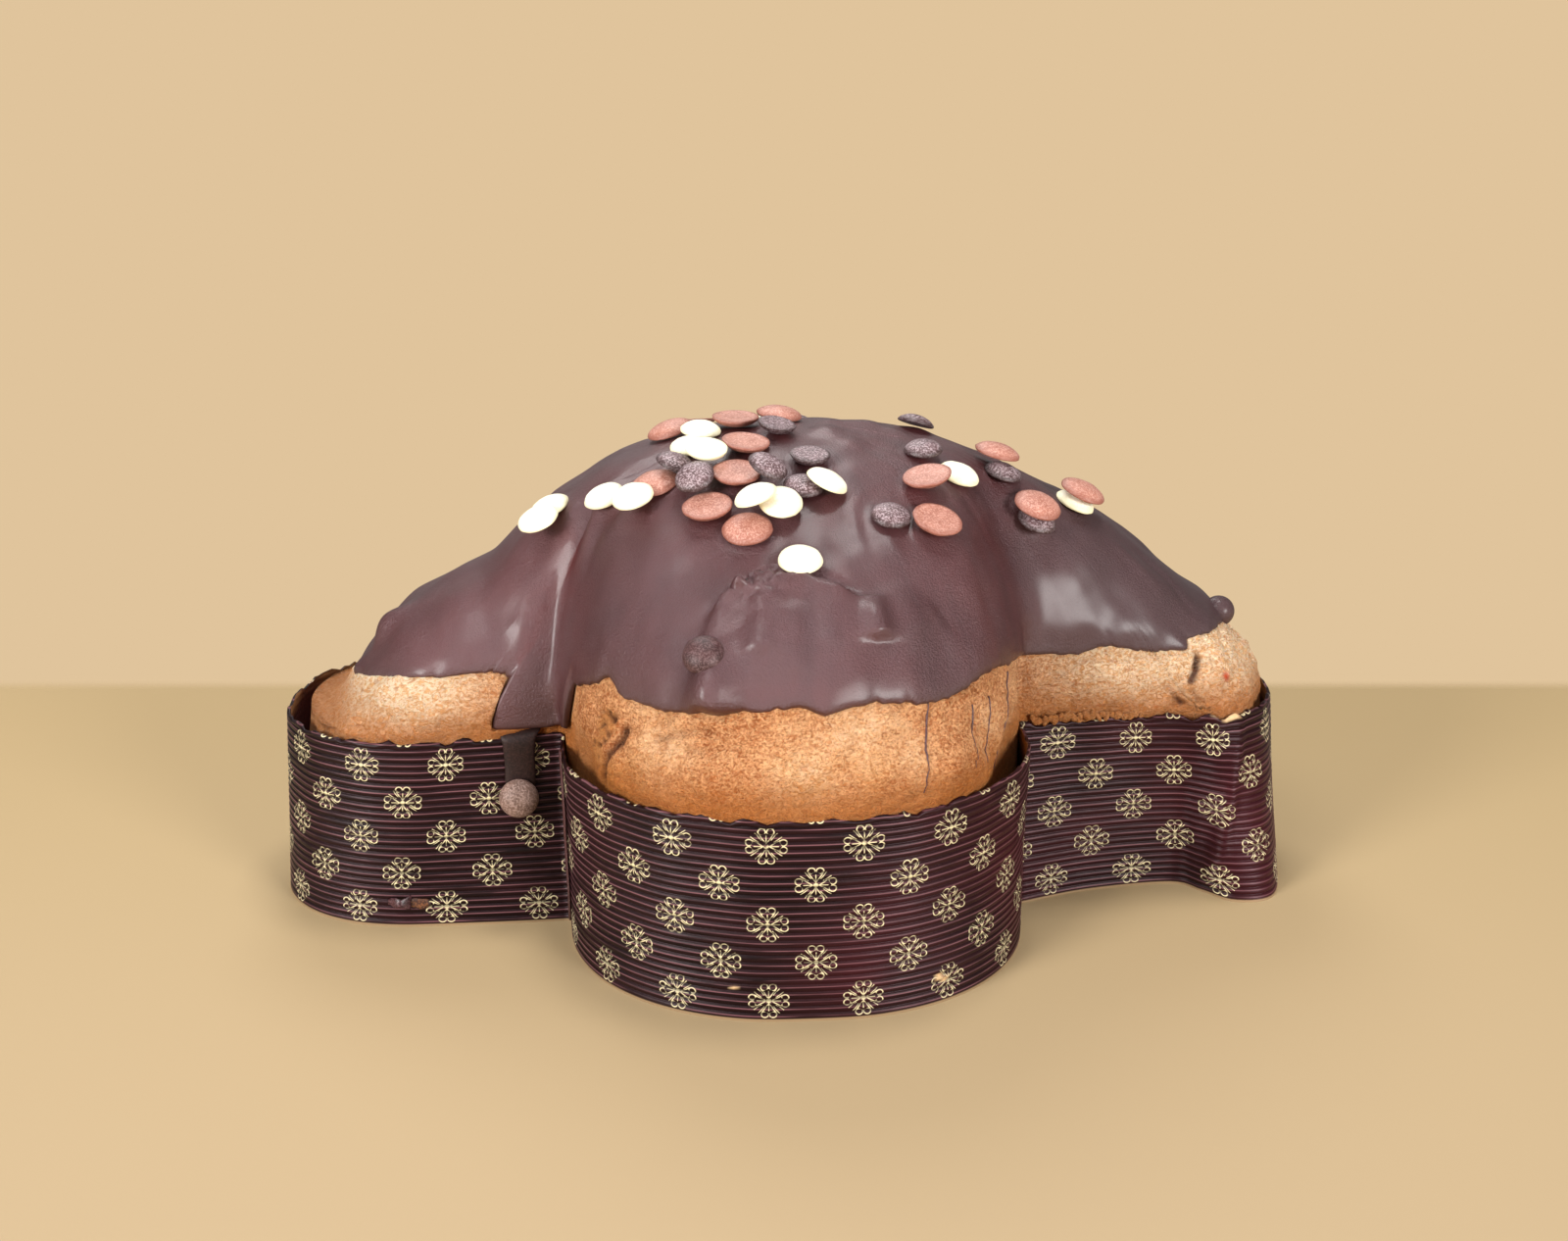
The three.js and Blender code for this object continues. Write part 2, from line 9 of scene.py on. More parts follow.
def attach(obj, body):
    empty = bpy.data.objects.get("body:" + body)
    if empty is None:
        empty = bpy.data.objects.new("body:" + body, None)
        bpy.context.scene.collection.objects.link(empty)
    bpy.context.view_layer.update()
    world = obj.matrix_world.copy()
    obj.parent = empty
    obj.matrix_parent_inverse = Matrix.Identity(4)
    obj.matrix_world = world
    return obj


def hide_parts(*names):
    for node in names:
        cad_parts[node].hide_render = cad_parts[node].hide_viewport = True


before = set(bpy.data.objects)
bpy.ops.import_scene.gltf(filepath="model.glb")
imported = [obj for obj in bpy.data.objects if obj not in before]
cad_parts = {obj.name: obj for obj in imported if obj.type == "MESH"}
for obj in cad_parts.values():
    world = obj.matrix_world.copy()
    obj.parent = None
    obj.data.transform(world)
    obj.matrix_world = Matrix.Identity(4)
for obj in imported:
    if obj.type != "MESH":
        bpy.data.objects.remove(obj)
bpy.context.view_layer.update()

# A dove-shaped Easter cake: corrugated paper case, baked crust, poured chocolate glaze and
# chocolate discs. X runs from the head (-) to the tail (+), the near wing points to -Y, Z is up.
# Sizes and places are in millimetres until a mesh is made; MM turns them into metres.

MM = 0.001

# ---------------------------------------------------------------- the shape's driving sizes
LENGTH = 301.5
SPAN = 194
CASE_HEIGHT = 56
PAPER = 1.0
FLOOR = 1.2
HEAD_LENGTH = 44
LOBE_POWER = 2.2

FOOT = dict(head_tip=-LENGTH / 2, head_half=39.5, neck_x=-64.75, neck_y=38.5, wing_mid=-0.25, wing_half=64,
            wing_reach=SPAN / 2, root_x=64.75, root_y=36.5, waist_x=112.75, waist_half=26, flare_x=128.75,
            flare_half=39, corner_x=141, corner_half=36, tail_tip=LENGTH / 2)
RIM = dict(head_tip=-146.25, head_half=40, neck_x=-65.75, neck_y=34, wing_mid=-0.75, wing_half=65,
           wing_reach=96.5, root_x=63.75, root_y=35, waist_x=106.75, waist_half=31, flare_x=122.75,
           flare_half=33, corner_x=134, corner_half=26.5, tail_tip=143.75)
CRUST_FIT = 1.45                # from the paper's outer face to the crust
HEAD_SLACK = 4
WING_SLACK = 2.2

BODY_CREST = [(-151, 56), (-133, 58), (-119, 74), (-106, 85.5), (-86, 95.5), (-69, 111), (-55, 122),
              (-43, 127), (-21, 131.5), (9, 133), (35, 132), (61, 122), (91, 106), (116, 86), (133, 76),
              (149, 66)]
WING_CREST = [(0, 133), (22, 130), (42, 120), (60, 107.5), (75, 98), (90, 90), (100, 85)]
CREST_CURVE = 0.0085
CREST_BLEND = 10
CROWN_REACH = 60
SHOULDER = 24
HEAD_SHOULDER = 26
RIM_LEVEL = CASE_HEIGHT + 0.5

# Height of the glaze's lower edge by direction from the centre, in degrees, on the near side.
GLAZE_EDGE = [(-180, 63), (-177, 63.5), (-174, 66), (-167, 70.5), (-162, 72.5), (-158.6, 73.8), (-155, 72),
              (-151, 69), (-147.8, 68), (-144, 74.5), (-138, 76.5), (-134, 78.5), (-128, 82.5),
              (-125.5, 79.5), (-119, 79), (-109, 79.7), (-98, 81.7), (-93, 82.5), (-91, 84), (-89, 80.5),
              (-85, 81.8), (-79, 82.7), (-70, 80.7), (-63, 80.7), (-58, 82.5), (-50, 82), (-38, 78.5),
              (-24, 75.5), (-20, 75), (-18.5, 76.8), (-15.4, 74.2), (-12.5, 73.7), (-11.7, 76.5), (-7.5, 77),
              (0, 76)]
FAR_EDGE = [(-180, 65), (-167, 71), (-158, 74), (-150, 69), (-143, 75), (-128, 81), (-119, 78), (-104, 82),
            (-92, 80), (-79, 83), (-60, 80), (-45, 81), (-30, 75), (-20, 74.5), (-12.5, 76), (0, 76)]
GLAZE_THICKNESS = 2.1

RIBS = 27                       # of the corrugated paper, one above the other
RIB_DEPTH = 0.62
PRINT_START = 9.8               # moves the print round the paper to where the near wing shows it

# ---------------------------------------------------------------- plan outlines
FINE = 6                        # drawn points for each point of the solids' outline


def lobe(centre_x, centre_y, radius_x, radius_y, start, end, count):
    angle = np.radians(start + (end - start) * np.arange(count) / count)
    c, s = np.cos(angle), np.sin(angle)
    power = 2 / LOBE_POWER
    return np.column_stack([centre_x + radius_x * np.sign(c) * np.abs(c) ** power,
                            centre_y + radius_y * np.sign(s) * np.abs(s) ** power])


def smooth_run(points, per_span):
    """Points along a Catmull-Rom curve through the given ones."""
    p = np.array(points, float)
    p = np.vstack([p[:1], p, p[-1:]])
    t = np.arange(per_span)[:, None] / per_span
    runs = []
    for a, b, c, d in zip(p, p[1:], p[2:], p[3:]):
        bend, lead = (c - a) / 2, (d - b) / 2
        runs.append((2 * b - 2 * c + bend + lead) * t ** 3 + (-3 * b + 3 * c - 2 * bend - lead) * t ** 2
                    + bend * t + b)
    return np.vstack([*runs, p[-1:]])


def outline(plan, fine=FINE):
    """The whole outline, counter-clockwise from the head's tip round the near wing."""
    head_x = plan["head_tip"] + HEAD_LENGTH
    neck_mid = (plan["head_half"] + plan["neck_y"]) / 2 + 0.3
    waist_x, waist = plan["waist_x"], plan["waist_half"]
    flare_x, flare, tip = plan["flare_x"], plan["flare_half"], plan["tail_tip"]
    side = smooth_run([(head_x, -plan["head_half"]), (-85, -neck_mid), (plan["neck_x"], -plan["neck_y"])],
                      4 * fine)
    tail = smooth_run([(plan["root_x"], -plan["root_y"]), (87, -(0.3 * plan["root_y"] + 0.7 * waist)),
                       (waist_x, -waist), ((waist_x + flare_x) / 2, -(0.55 * waist + 0.45 * flare)),
                       (flare_x, -flare), (plan["corner_x"], -plan["corner_half"]),
                       (tip - 1.5, -14), (tip, 0), (tip - 1.5, 14)], 3 * fine)
    near = np.vstack([
        lobe(head_x, 0, HEAD_LENGTH, plan["head_half"], 180, 270, 8 * fine),
        side[:-1],
        lobe(plan["wing_mid"], -plan["neck_y"], plan["wing_half"], plan["wing_reach"] - plan["neck_y"],
             180, 360, 20 * fine),
        tail[:-3 * fine],
    ])
    far = near[1:-1][::-1] * (1, -1)
    return np.vstack([near, far])


FOOT_RING, RIM_RING = outline(FOOT), outline(RIM)


def paper_ring(z):
    """The outline of the paper's wall at a height."""
    return FOOT_RING + (RIM_RING - FOOT_RING) * min(z / CASE_HEIGHT, 1)


def outward(ring):
    step = np.roll(ring, -1, 0) - np.roll(ring, 1, 0)
    normal = np.column_stack([step[:, 1], -step[:, 0]])
    return normal / np.linalg.norm(normal, axis=1, keepdims=True)


def inset(ring, depth):
    return ring - outward(ring) * np.reshape(depth, (-1, 1))


def smoothstep(value, low, high):
    t = np.clip((np.asarray(value, float) - low) / (high - low), 0, 1)
    return t * t * (3 - 2 * t)


def smooth_table(knots, at):
    """Smooth interpolation through knots with central slopes."""
    x, y = np.array(knots, float).T
    ends = (y[[1, -1]] - y[[0, -2]]) / (x[[1, -1]] - x[[0, -2]])
    slope = np.concatenate([ends[:1], (y[2:] - y[:-2]) / (x[2:] - x[:-2]), ends[1:]])
    at = np.clip(at, x[0], x[-1])
    i = np.clip(np.searchsorted(x, at, side="left") - 1, 0, len(x) - 2)
    step = x[i + 1] - x[i]
    t = (at - x[i]) / step
    return ((2 * t ** 3 - 3 * t ** 2 + 1) * y[i] + (t ** 3 - 2 * t ** 2 + t) * step * slope[i]
            + (3 * t ** 2 - 2 * t ** 3) * y[i + 1] + (t ** 3 - t ** 2) * step * slope[i + 1])


def waves(points, size, seed, count=26):
    """Soft noise of about one unit: a sum of seeded waves about `size` mm long."""
    rng = np.random.default_rng(seed)
    points = np.atleast_2d(points)
    aim = rng.normal(size=(count, points.shape[1]))
    aim /= np.linalg.norm(aim, axis=1, keepdims=True)
    aim *= (2 * math.pi / np.asarray(size)) * rng.uniform(0.6, 1.7, (count, 1))
    return np.cos(points @ aim.T + rng.uniform(0, 2 * math.pi, count)).sum(1) * math.sqrt(2 / count) * 0.7


def unevenness(points, *parts):
    """Sum of soft noises at points, each given as its size, the length of its waves and its seed."""
    flat = points.reshape(-1, points.shape[-1])
    return sum(size * waves(flat, length, seed) for size, length, seed in parts).reshape(points.shape[:-1])


# ---------------------------------------------------------------- height of the cake
def slack(ring):
    x, y = ring[:, 0], np.abs(ring[:, 1])
    return (CRUST_FIT + HEAD_SLACK * smoothstep(-x, 112, 146)
            + WING_SLACK * smoothstep(y, 36, 46) * smoothstep(np.abs(x), 28, 60))


crust_ring = inset(RIM_RING, slack(RIM_RING))
crust_outward = outward(crust_ring)
columns = len(crust_ring)


def distance_to_crust(points):
    """Shortest way to the crust's outline, in blocks to keep the arrays small."""
    start = crust_ring.astype(np.float32)
    along = np.roll(start, -1, 0) - start
    length = (along ** 2).sum(1)
    out = []
    for block in np.array_split(points.astype(np.float32), max(1, len(points) // 3000)):
        gap = block[:, None, :] - start[None]
        t = np.clip((gap * along).sum(2) / length, 0, 1)
        out.append(np.sqrt(((gap - t[..., None] * along) ** 2).sum(2).min(1)))
    return np.concatenate(out)


def crest_height(x, y):
    body = smooth_table(BODY_CREST, x) - CREST_CURVE * y * y
    wing = smooth_table(WING_CREST, np.abs(y)) - CREST_CURVE * x * x
    blend = CREST_BLEND * np.log(np.exp(body / CREST_BLEND) + np.exp(wing / CREST_BLEND))
    return blend - CREST_BLEND * math.log(2) * np.exp(-(x * x + y * y) / CROWN_REACH ** 2)


def cake_height(points):
    x, y = points[:, 0], points[:, 1]
    width = SHOULDER + HEAD_SHOULDER * np.clip((-x - 96) / 40, 0, 1)
    share = np.minimum(distance_to_crust(points) / width, 1)
    rise = (1 - (1 - share) ** LOBE_POWER) ** (1 / LOBE_POWER)
    return RIM_LEVEL + rise * (crest_height(x, y) - RIM_LEVEL)


# The dome is worked out once on spokes from the crown to each point of the crust's outline, with
# the length of the way up each spoke. Everything on the dome is then placed by that length.
SPOKE_STEPS = 190
spoke_share = 1 - np.linspace(0, 1, SPOKE_STEPS) ** 1.6
spoke_plan = crust_ring[:, None, :] * spoke_share[None, :, None]
spoke_z = cake_height(spoke_plan.reshape(-1, 2)).reshape(columns, SPOKE_STEPS)
spoke_points = np.dstack([spoke_plan, spoke_z])
spoke_way = np.concatenate([np.zeros((columns, 1)),
                            np.linalg.norm(np.diff(spoke_points, axis=1), axis=2).cumsum(1)], axis=1)
direction = np.degrees(np.arctan2(crust_ring[:, 1], crust_ring[:, 0]))
ring_way = np.linalg.norm(crust_ring - np.roll(crust_ring, 1, 0), axis=1).cumsum()


def on_spokes(way):
    """Points at a length up each spoke; way is columns x rows."""
    out = np.empty(way.shape + (3,))
    for i in range(columns):
        for axis in range(3):
            out[i, :, axis] = np.interp(way[i], spoke_way[i], spoke_points[i, :, axis])
    return out


def way_at_height(height):
    return np.array([np.interp(h, z, w) for h, z, w in zip(height, spoke_z, spoke_way)])


def edge_heights():
    near = np.interp(direction, *np.array(GLAZE_EDGE).T)
    far = np.interp(-np.abs(direction), *np.array(FAR_EDGE).T)
    return np.where(direction <= 0, near, far)


def round_ring(values, times=1):
    for _ in range(times):
        values = (np.roll(values, 1, 0) + 2 * values + np.roll(values, -1, 0)) / 4
    return values


# A broad flow runs down to the rim in the corner between head and near wing, with a notch in its edge.
FLOW_START = (-85, -37)
FLOW_END = (-60.5, -40.5)
FLOW_LEVEL = 56.1
FLOW_SOFT = 0.9                 # half of the way in which the edge drops to the flow's
NOTCH = (-71.5, -33.5)
NOTCH_RISE = 2.6
NOTCH_HALF = 0.8
LOWEST_EDGE = 1.2               # of the glaze, up a spoke


def way_to(place):
    return ring_way[np.argmin(np.hypot(*(crust_ring - place).T))]


def with_flow(height):
    start, end, notch = (way_to(place) for place in (FLOW_START, FLOW_END, NOTCH))
    inside = (smoothstep(ring_way, start - FLOW_SOFT, start + FLOW_SOFT)
              - smoothstep(ring_way, end - FLOW_SOFT, end + FLOW_SOFT))
    rise = NOTCH_RISE * np.exp(-((ring_way - notch) / NOTCH_HALF) ** 2)
    return height + (FLOW_LEVEL + rise - height) * inside


edge_way = way_at_height(round_ring(with_flow(edge_heights())))
edge_way += unevenness(crust_ring, (0.3, 15, 3), (0.25, 5, 4), (0.15, 2.4, 5))
edge_way = np.maximum(edge_way, LOWEST_EDGE)


# ---------------------------------------------------------------- sculpting
def normals_of(grid):
    """Unit normals of a grid of points whose first axis runs round the cake."""
    along = np.roll(grid, -1, 0) - np.roll(grid, 1, 0)
    up = np.gradient(grid, axis=1)
    normal = np.cross(along, up)
    return normal / np.maximum(np.linalg.norm(normal, axis=2, keepdims=True), 1e-9)


def to_line(points, line):
    """Distance from each point to a polyline, and how far along it (0 to 1)."""
    line = np.array(line, float)
    best = np.full(points.shape[:-1], np.inf)
    share = np.zeros(points.shape[:-1])
    count = len(line) - 1
    for i, (a, b) in enumerate(zip(line, line[1:])):
        ab = b - a
        t = np.clip(((points - a) @ ab) / (ab @ ab), 0, 1)
        d = np.linalg.norm(points - a - t[..., None] * ab, axis=-1)
        share = np.where(d < best, (i + t) / count, share)
        best = np.minimum(d, best)
    return best, share


def bell(distance, width):
    return np.exp(-(distance / width) ** 2)


END_FADE = 6                    # a ridge fades out over a sixth of its length at each end
END_SHARE = 0.15                # of its height that is left at the very end


def ridge(points, line, width, height):
    """A rounded ridge (or groove, where height is negative) that fades out at both ends."""
    d, share = to_line(points, line)
    start, end = (np.clip(END_FADE * part + END_SHARE, 0, 1) for part in (share, 1 - share))
    return height * bell(d, width) * start * end


def polar(points):
    return (np.degrees(np.arctan2(points[..., 1], points[..., 0])), np.hypot(points[..., 0], points[..., 1]))


# Ledge across the near wing, where the pour has piled up: direction and distance from the centre.
WING_FOLD = [(-112, 76), (-108.6, 72.5), (-106, 67), (-102, 64.6), (-98, 63.3), (-94, 64), (-91, 62.8),
             (-87, 65), (-83, 66.6), (-79, 69.5)]
# Lines on the glaze as x, y, z: ridges, folds and flow lines read off the near side.
LOBE_LINE = [(16.5, -69.5, 106), (17, -74, 101), (17.6, -78.5, 95.8)]
FOLDS = [
    ([(12.4, -70, 105.5), (13.3, -76.5, 99), (13.9, -82, 92), (13.4, -86.5, 86)], 0.9, -1.9),
    ([(21.8, -69, 104.5), (21.8, -75, 98.5), (21.5, -81, 92), (21.5, -85, 86)], 1.2, -1.4),
    ([(4.5, -71, 106), (5, -77, 100), (5.5, -81, 95)], 2.2, 1.2),
    ([(-1.5, -70, 106.5), (-1, -75, 102)], 1.3, -1.0),
    ([(8.8, -70, 106.5), (9.5, -75, 101)], 1.2, -1.0),
    ([(-10, -69, 106), (-11, -76, 99), (-12, -81, 93)], 4.0, 1.3),
    ([(22.5, -50.7, 117.4), (24.5, -56, 113), (26.6, -60.5, 109.5)], 1.6, 1.1),
    ([(19, -40, 125), (20, -50, 118.5), (24, -60, 110.5), (32, -66, 102), (40, -68, 93)], 1.0, -0.9),
    ([(33, -76, 92), (33, -80, 87)], 0.7, 0.5),
    ([(14, -45.8, 121.5), (14.8, -54.2, 115.8), (17, -62.6, 110.3), (20.7, -68, 105.3)], 1.5, 1.5),
    ([(9, -30, 128), (12, -42, 123), (12, -52, 117.5)], 1.2, -0.5),
    ([(-56.7, -14.5, 120.3), (-63.5, -20.7, 110.8), (-68.9, -25.1, 100.9), (-73.1, -29, 90.9),
      (-76.5, -33.5, 79)], 2.6, 1.3),
    ([(-47, -18, 124), (-54.5, -25.7, 112.5), (-58.4, -31, 101.5), (-61, -36.5, 89), (-62, -41, 77)],
     2.0, 1.5),
    ([(-52, -22, 119), (-59, -26, 108), (-64.5, -30, 96), (-67.5, -34, 83)], 2.6, -1.1),
    ([(-57, -19, 117), (-62.5, -24, 106.5), (-67, -28, 96), (-70, -31.5, 86)], 0.9, 0.5),
    ([(34, -48, 121), (41, -50, 114), (45, -54, 105), (47, -60, 95)], 1.5, 0.45),
    ([(55, -34, 117), (63, -38, 107), (66, -42, 98)], 1.6, 0.4),
    ([(92, -14, 103), (103, -19, 92), (109, -23, 84)], 2.2, 0.7),
    ([(98, -10, 100), (110, -15, 88), (117, -20, 81)], 1.6, -0.5),
    ([(30, -66, 102), (36, -70, 95), (39, -73, 88)], 1.6, 0.6),
    ([(-3, -72, 104), (-3.5, -80, 96), (-3, -85, 89)], 3.2, 0.7),
    ([(-38, -62, 103), (-43, -68, 93), (-45, -71, 86)], 2.5, 0.5),
]
CRUMPLES = [
    ([(-17, -62.5, 109.5), (-12.5, -61.5, 111), (-9, -61, 111.8)], 0.9, 0.9),
    ([(-14.5, -64, 109), (-10.5, -63, 110.8)], 0.6, -0.8),
    ([(-21, -66.5, 105.5), (-17.5, -64.8, 107.8), (-16, -63.5, 109)], 0.8, 0.7),
]
# Rounded lumps: x, y, radius, height.
LUMPS = [(-24.5, -82.8, 8, 4.4), (9.9, -7.5, 6, 1.6), (17, -16, 5, 0.9), (-4, -62, 10, 0.5),
         (13, -66, 8, 0.8), (25, -69, 8, 1.6), (-113, -8, 6, 3.6), (-124, -8, 4, 1.8), (22, 2, 9, 1.6),
         (12, 0, 6, 0.9), (30, -4, 5, 0.8), (44, -58, 7, 0.8), (-6, -76, 9, 0.8), (40, 52, 9, 1.4),
         (-18, 74, 8, 1.6), (-60, 30, 10, 1.0), (84, 18, 8, 1.0), (5, 66, 11, 1.2)]


def lumps(points):
    out = np.zeros(points.shape[:-1])
    for x, y, radius, height in LUMPS:
        square = (points[..., 0] - x) ** 2 + (points[..., 1] - y) ** 2
        out += height * np.exp(-square / (0.5 * radius ** 2))
    return out


LEDGE_RISE = 3.8
LEDGE_FADE = 13                 # how soon the pile thins out above its edge
LEDGE_GROOVE = 1.4              # depth and half width of the groove before it
LEDGE_GROOVE_HALF = 1.2
LEDGE_FACETS = 1.3


def wing_ledge(points):
    """The pile of pour across the near wing: a step up behind a groove, crumpled at its left end."""
    angle, reach = polar(points)
    rough = smoothstep(angle, -111, -106) * (1 - smoothstep(angle, -97, -92))
    line = np.interp(angle, *np.array(WING_FOLD).T) + unevenness(points, (0.9, 7, 21), (0.5, 3, 22)) * rough
    past = reach - line
    step = smoothstep(past, -0.5, 1.0) * np.exp(-np.maximum(past, 0) / LEDGE_FADE)
    groove = bell(past + LEDGE_GROOVE_HALF, LEDGE_GROOVE_HALF)
    facets = 1.4 * np.abs(unevenness(points, (1, 4.5, 23))) * rough * bell(past - 2, 3.4)
    window = smoothstep(angle, -110.5, -105.5) * (1 - smoothstep(angle, -84, -77))
    return (LEDGE_RISE * step - LEDGE_GROOVE * groove + LEDGE_FACETS * facets) * window


# Where the pour ran in streaks: direction, half width in degrees, height.
STREAKED = [(-153, 8, 0.5), (-33, 9, 0.3), (-8, 9, 0.35), (10, 10, 0.5), (38, 10, 0.4), (150, 12, 0.4),
            (95, 16, 0.3)]


def lanes_of(points, spread, drawn_out):
    """Noise space in which waves are long down the cake and short across it."""
    angle, reach = polar(points)
    turn = np.radians(angle)
    return np.dstack([np.cos(turn) * spread, np.sin(turn) * spread, reach * drawn_out])


def flow_waves(points):
    """Streaks that run down the cake and soft unevenness of the pour."""
    angle, reach = polar(points)
    streak = unevenness(lanes_of(points, 100, 0.14), (0.5, 15, 11), (0.35, 6, 12))
    soft = unevenness(points, (0.42, 26, 13), (0.1, 10, 14))
    lanes = sum(height * bell(angle - middle, half) for middle, half, height in STREAKED)
    return streak * lanes * smoothstep(reach, 25, 60) + soft


# ---------------------------------------------------------------- meshes
def grid_faces(count, rows, offset=0):
    """Quads between rows of a closed ring; points are numbered column by column."""
    i = np.arange(count)[:, None]
    j = np.arange(rows - 1)[None, :]
    following = (i + 1) % count
    quads = np.stack([i * rows + j, following * rows + j, following * rows + j + 1, i * rows + j + 1], axis=2)
    return (quads.reshape(-1, 4) + offset).tolist()


def link(thing):
    bpy.context.scene.collection.objects.link(thing)
    return thing


def shade_smooth(mesh):
    mesh.polygons.foreach_set("use_smooth", [True] * len(mesh.polygons))


def make_mesh(name, points, faces):
    mesh = bpy.data.meshes.new(name)
    mesh.from_pydata((np.asarray(points).reshape(-1, 3) * MM).tolist(), [], faces)
    mesh.validate()
    mesh.update()
    shade_smooth(mesh)
    return link(bpy.data.objects.new(name, mesh))


def paint(piece, name, values):
    """Stores one number for each vertex, for the materials to read."""
    layer = piece.data.attributes.new(name, "FLOAT", "POINT")
    layer.data.foreach_set("value", np.asarray(values, np.float32).ravel())


def lid(ring, up=True):
    """Closes a ring that is the same on the near and the far side with strips from side to side."""
    count = len(ring)
    faces = []
    for i in range(count // 2):
        strip = [ring[i], ring[i + 1], ring[-i - 1], ring[-i % count]]
        strip = [int(v) for v in dict.fromkeys(strip)]
        faces.append(strip if up else strip[::-1])
    return faces


def fan(ring_indices, centre, flip=False):
    pairs = zip(ring_indices, np.roll(ring_indices, -1))
    return [(int(b), int(a), centre) if flip else (int(a), int(b), centre) for a, b in pairs]


def capped(grid, start, end):
    """Points and faces of a tube (columns x rows of points) that a fan closes at each end."""
    count, rows = grid.shape[:2]
    first = np.arange(count) * rows
    faces = grid_faces(count, rows)
    faces += fan(first, count * rows, flip=True) + fan(first + rows - 1, count * rows + 1)
    return np.vstack([grid.reshape(-1, 3), start, end]), faces


def joined(bodies):
    """Points and faces of several bodies as one."""
    faces, offset = [], 0
    for points, own in bodies:
        faces += [tuple(i + offset for i in face) for face in own]
        offset += len(points)
    return np.vstack([points for points, _ in bodies]), faces


def on_rows(values, start, count, centres):
    """Values of some rows of a grid, as one for each point: 0 in other rows and at the fans' centres."""
    full = np.zeros((columns, count))
    full[:, start:start + values.shape[1]] = values
    return np.append(full.ravel(), np.zeros(centres))


BOX_ROOM = 1.9                  # the last stretch below the solids' box, in which a form is eased back


def inside_box(points):
    """Eases points back where a swell or a sway would pass the solids' box."""
    points = np.array(points, float)
    for axis, half in ((0, LENGTH / 2), (1, SPAN / 2)):
        start = half - 0.1 - BOX_ROOM
        over = np.maximum(np.abs(points[..., axis]) - start, 0)
        eased = np.minimum(np.abs(points[..., axis]), start) + BOX_ROOM * np.tanh(over / BOX_ROOM)
        points[..., axis] = np.sign(points[..., axis]) * eased
    return points


def finish_piece(piece, slot, material, *nodes):
    piece.data.materials.clear()
    piece.data.materials.append(material)
    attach(piece, "root")
    if nodes:
        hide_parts(*nodes)
    return piece


# ---------------------------------------------------------------- materials
class Wire:
    """A shader socket that takes part in Python sums. Each sum adds its Math node."""

    def __init__(self, tree, socket):
        self.tree = tree
        self.socket = socket

    def node(self, kind, inputs, output=0, **settings):
        """Any node: its settings first, then its inputs."""
        node = self.tree.nodes.new(kind)
        for name, value in settings.items():
            setattr(node, name, value)
        for key, value in inputs.items():
            if isinstance(value, Wire):
                self.tree.links.new(value.socket, node.inputs[key])
            else:
                node.inputs[key].default_value = value
        return Wire(self.tree, node.outputs[output])

    def maths(self, operation, *values, clamp=False):
        inputs = dict(enumerate(values))
        return self.node("ShaderNodeMath", inputs, operation=operation, use_clamp=clamp)

    def __add__(self, other): return self.maths("ADD", self, other)
    def __radd__(self, other): return self.maths("ADD", other, self)
    def __sub__(self, other): return self.maths("SUBTRACT", self, other)
    def __rsub__(self, other): return self.maths("SUBTRACT", other, self)
    def __mul__(self, other): return self.maths("MULTIPLY", self, other)
    def __rmul__(self, other): return self.maths("MULTIPLY", other, self)
    def __truediv__(self, other): return self.maths("DIVIDE", self, other)
    def __pow__(self, other): return self.maths("POWER", self, other)
    def __abs__(self): return self.maths("ABSOLUTE", self)
    def __lt__(self, other): return self.maths("LESS_THAN", self, other)
    def __gt__(self, other): return self.maths("GREATER_THAN", self, other)

    def limit(self):
        return self.maths("ADD", self, 0.0, clamp=True)

    def axis(self, index):
        """X, Y or Z of this vector."""
        return self.node("ShaderNodeSeparateXYZ", {"Vector": self}, output=index)

    def smooth(self, low, high):
        """0 below low, 1 above high, soft between."""
        return self.node("ShaderNodeMapRange", {"Value": self, "From Min": low, "From Max": high},
                         interpolation_type="SMOOTHSTEP")

    def noise(self, scale, detail=4.0, roughness=0.55, stretch=(1, 1, 1), output=0, distortion=0.0):
        """Noise of this vector; scale is in waves for each metre."""
        place = self.node("ShaderNodeMapping", {"Vector": self, "Scale": stretch})
        return self.node("ShaderNodeTexNoise", {"Vector": place, "Scale": scale, "Detail": detail,
                                                "Roughness": roughness, "Distortion": distortion}, output)

    def mix(self, low, high):
        """Colour between low and high, by this number."""
        return self.node("ShaderNodeMix", {0: self, 6: low, 7: high}, output=2, data_type="RGBA")


def colour(code):
    """Linear colour of a code such as 8a5a4a."""
    parts = [int(code[i:i + 2], 16) / 255 for i in (0, 2, 4)]
    return (*[c / 12.92 if c <= 0.04045 else ((c + 0.055) / 1.055) ** 2.4 for c in parts], 1)


def start_material(name):
    """A new material, its shader node, and a wire with the object's own coordinates."""
    material = bpy.data.materials.new(name)
    material.use_nodes = True
    tree = material.node_tree
    shader = tree.nodes["Principled BSDF"]
    root = Wire(tree, shader.outputs[0])
    place = root.node("ShaderNodeTexCoord", {}, output=3)
    return material, shader, place


def feed(shader, wire, name):
    wire.tree.links.new(wire.socket, shader.inputs[name])


def bump(height, distance, strength=1.0, below=None):
    """Bump of a height wire in units of distance (metres), over another bump if given."""
    inputs = {"Height": height, "Distance": distance, "Strength": strength}
    if below:
        inputs["Normal"] = below
    return height.node("ShaderNodeBump", inputs)


def attribute(place, name):
    return place.node("ShaderNodeAttribute", {}, output=2, attribute_name=name)


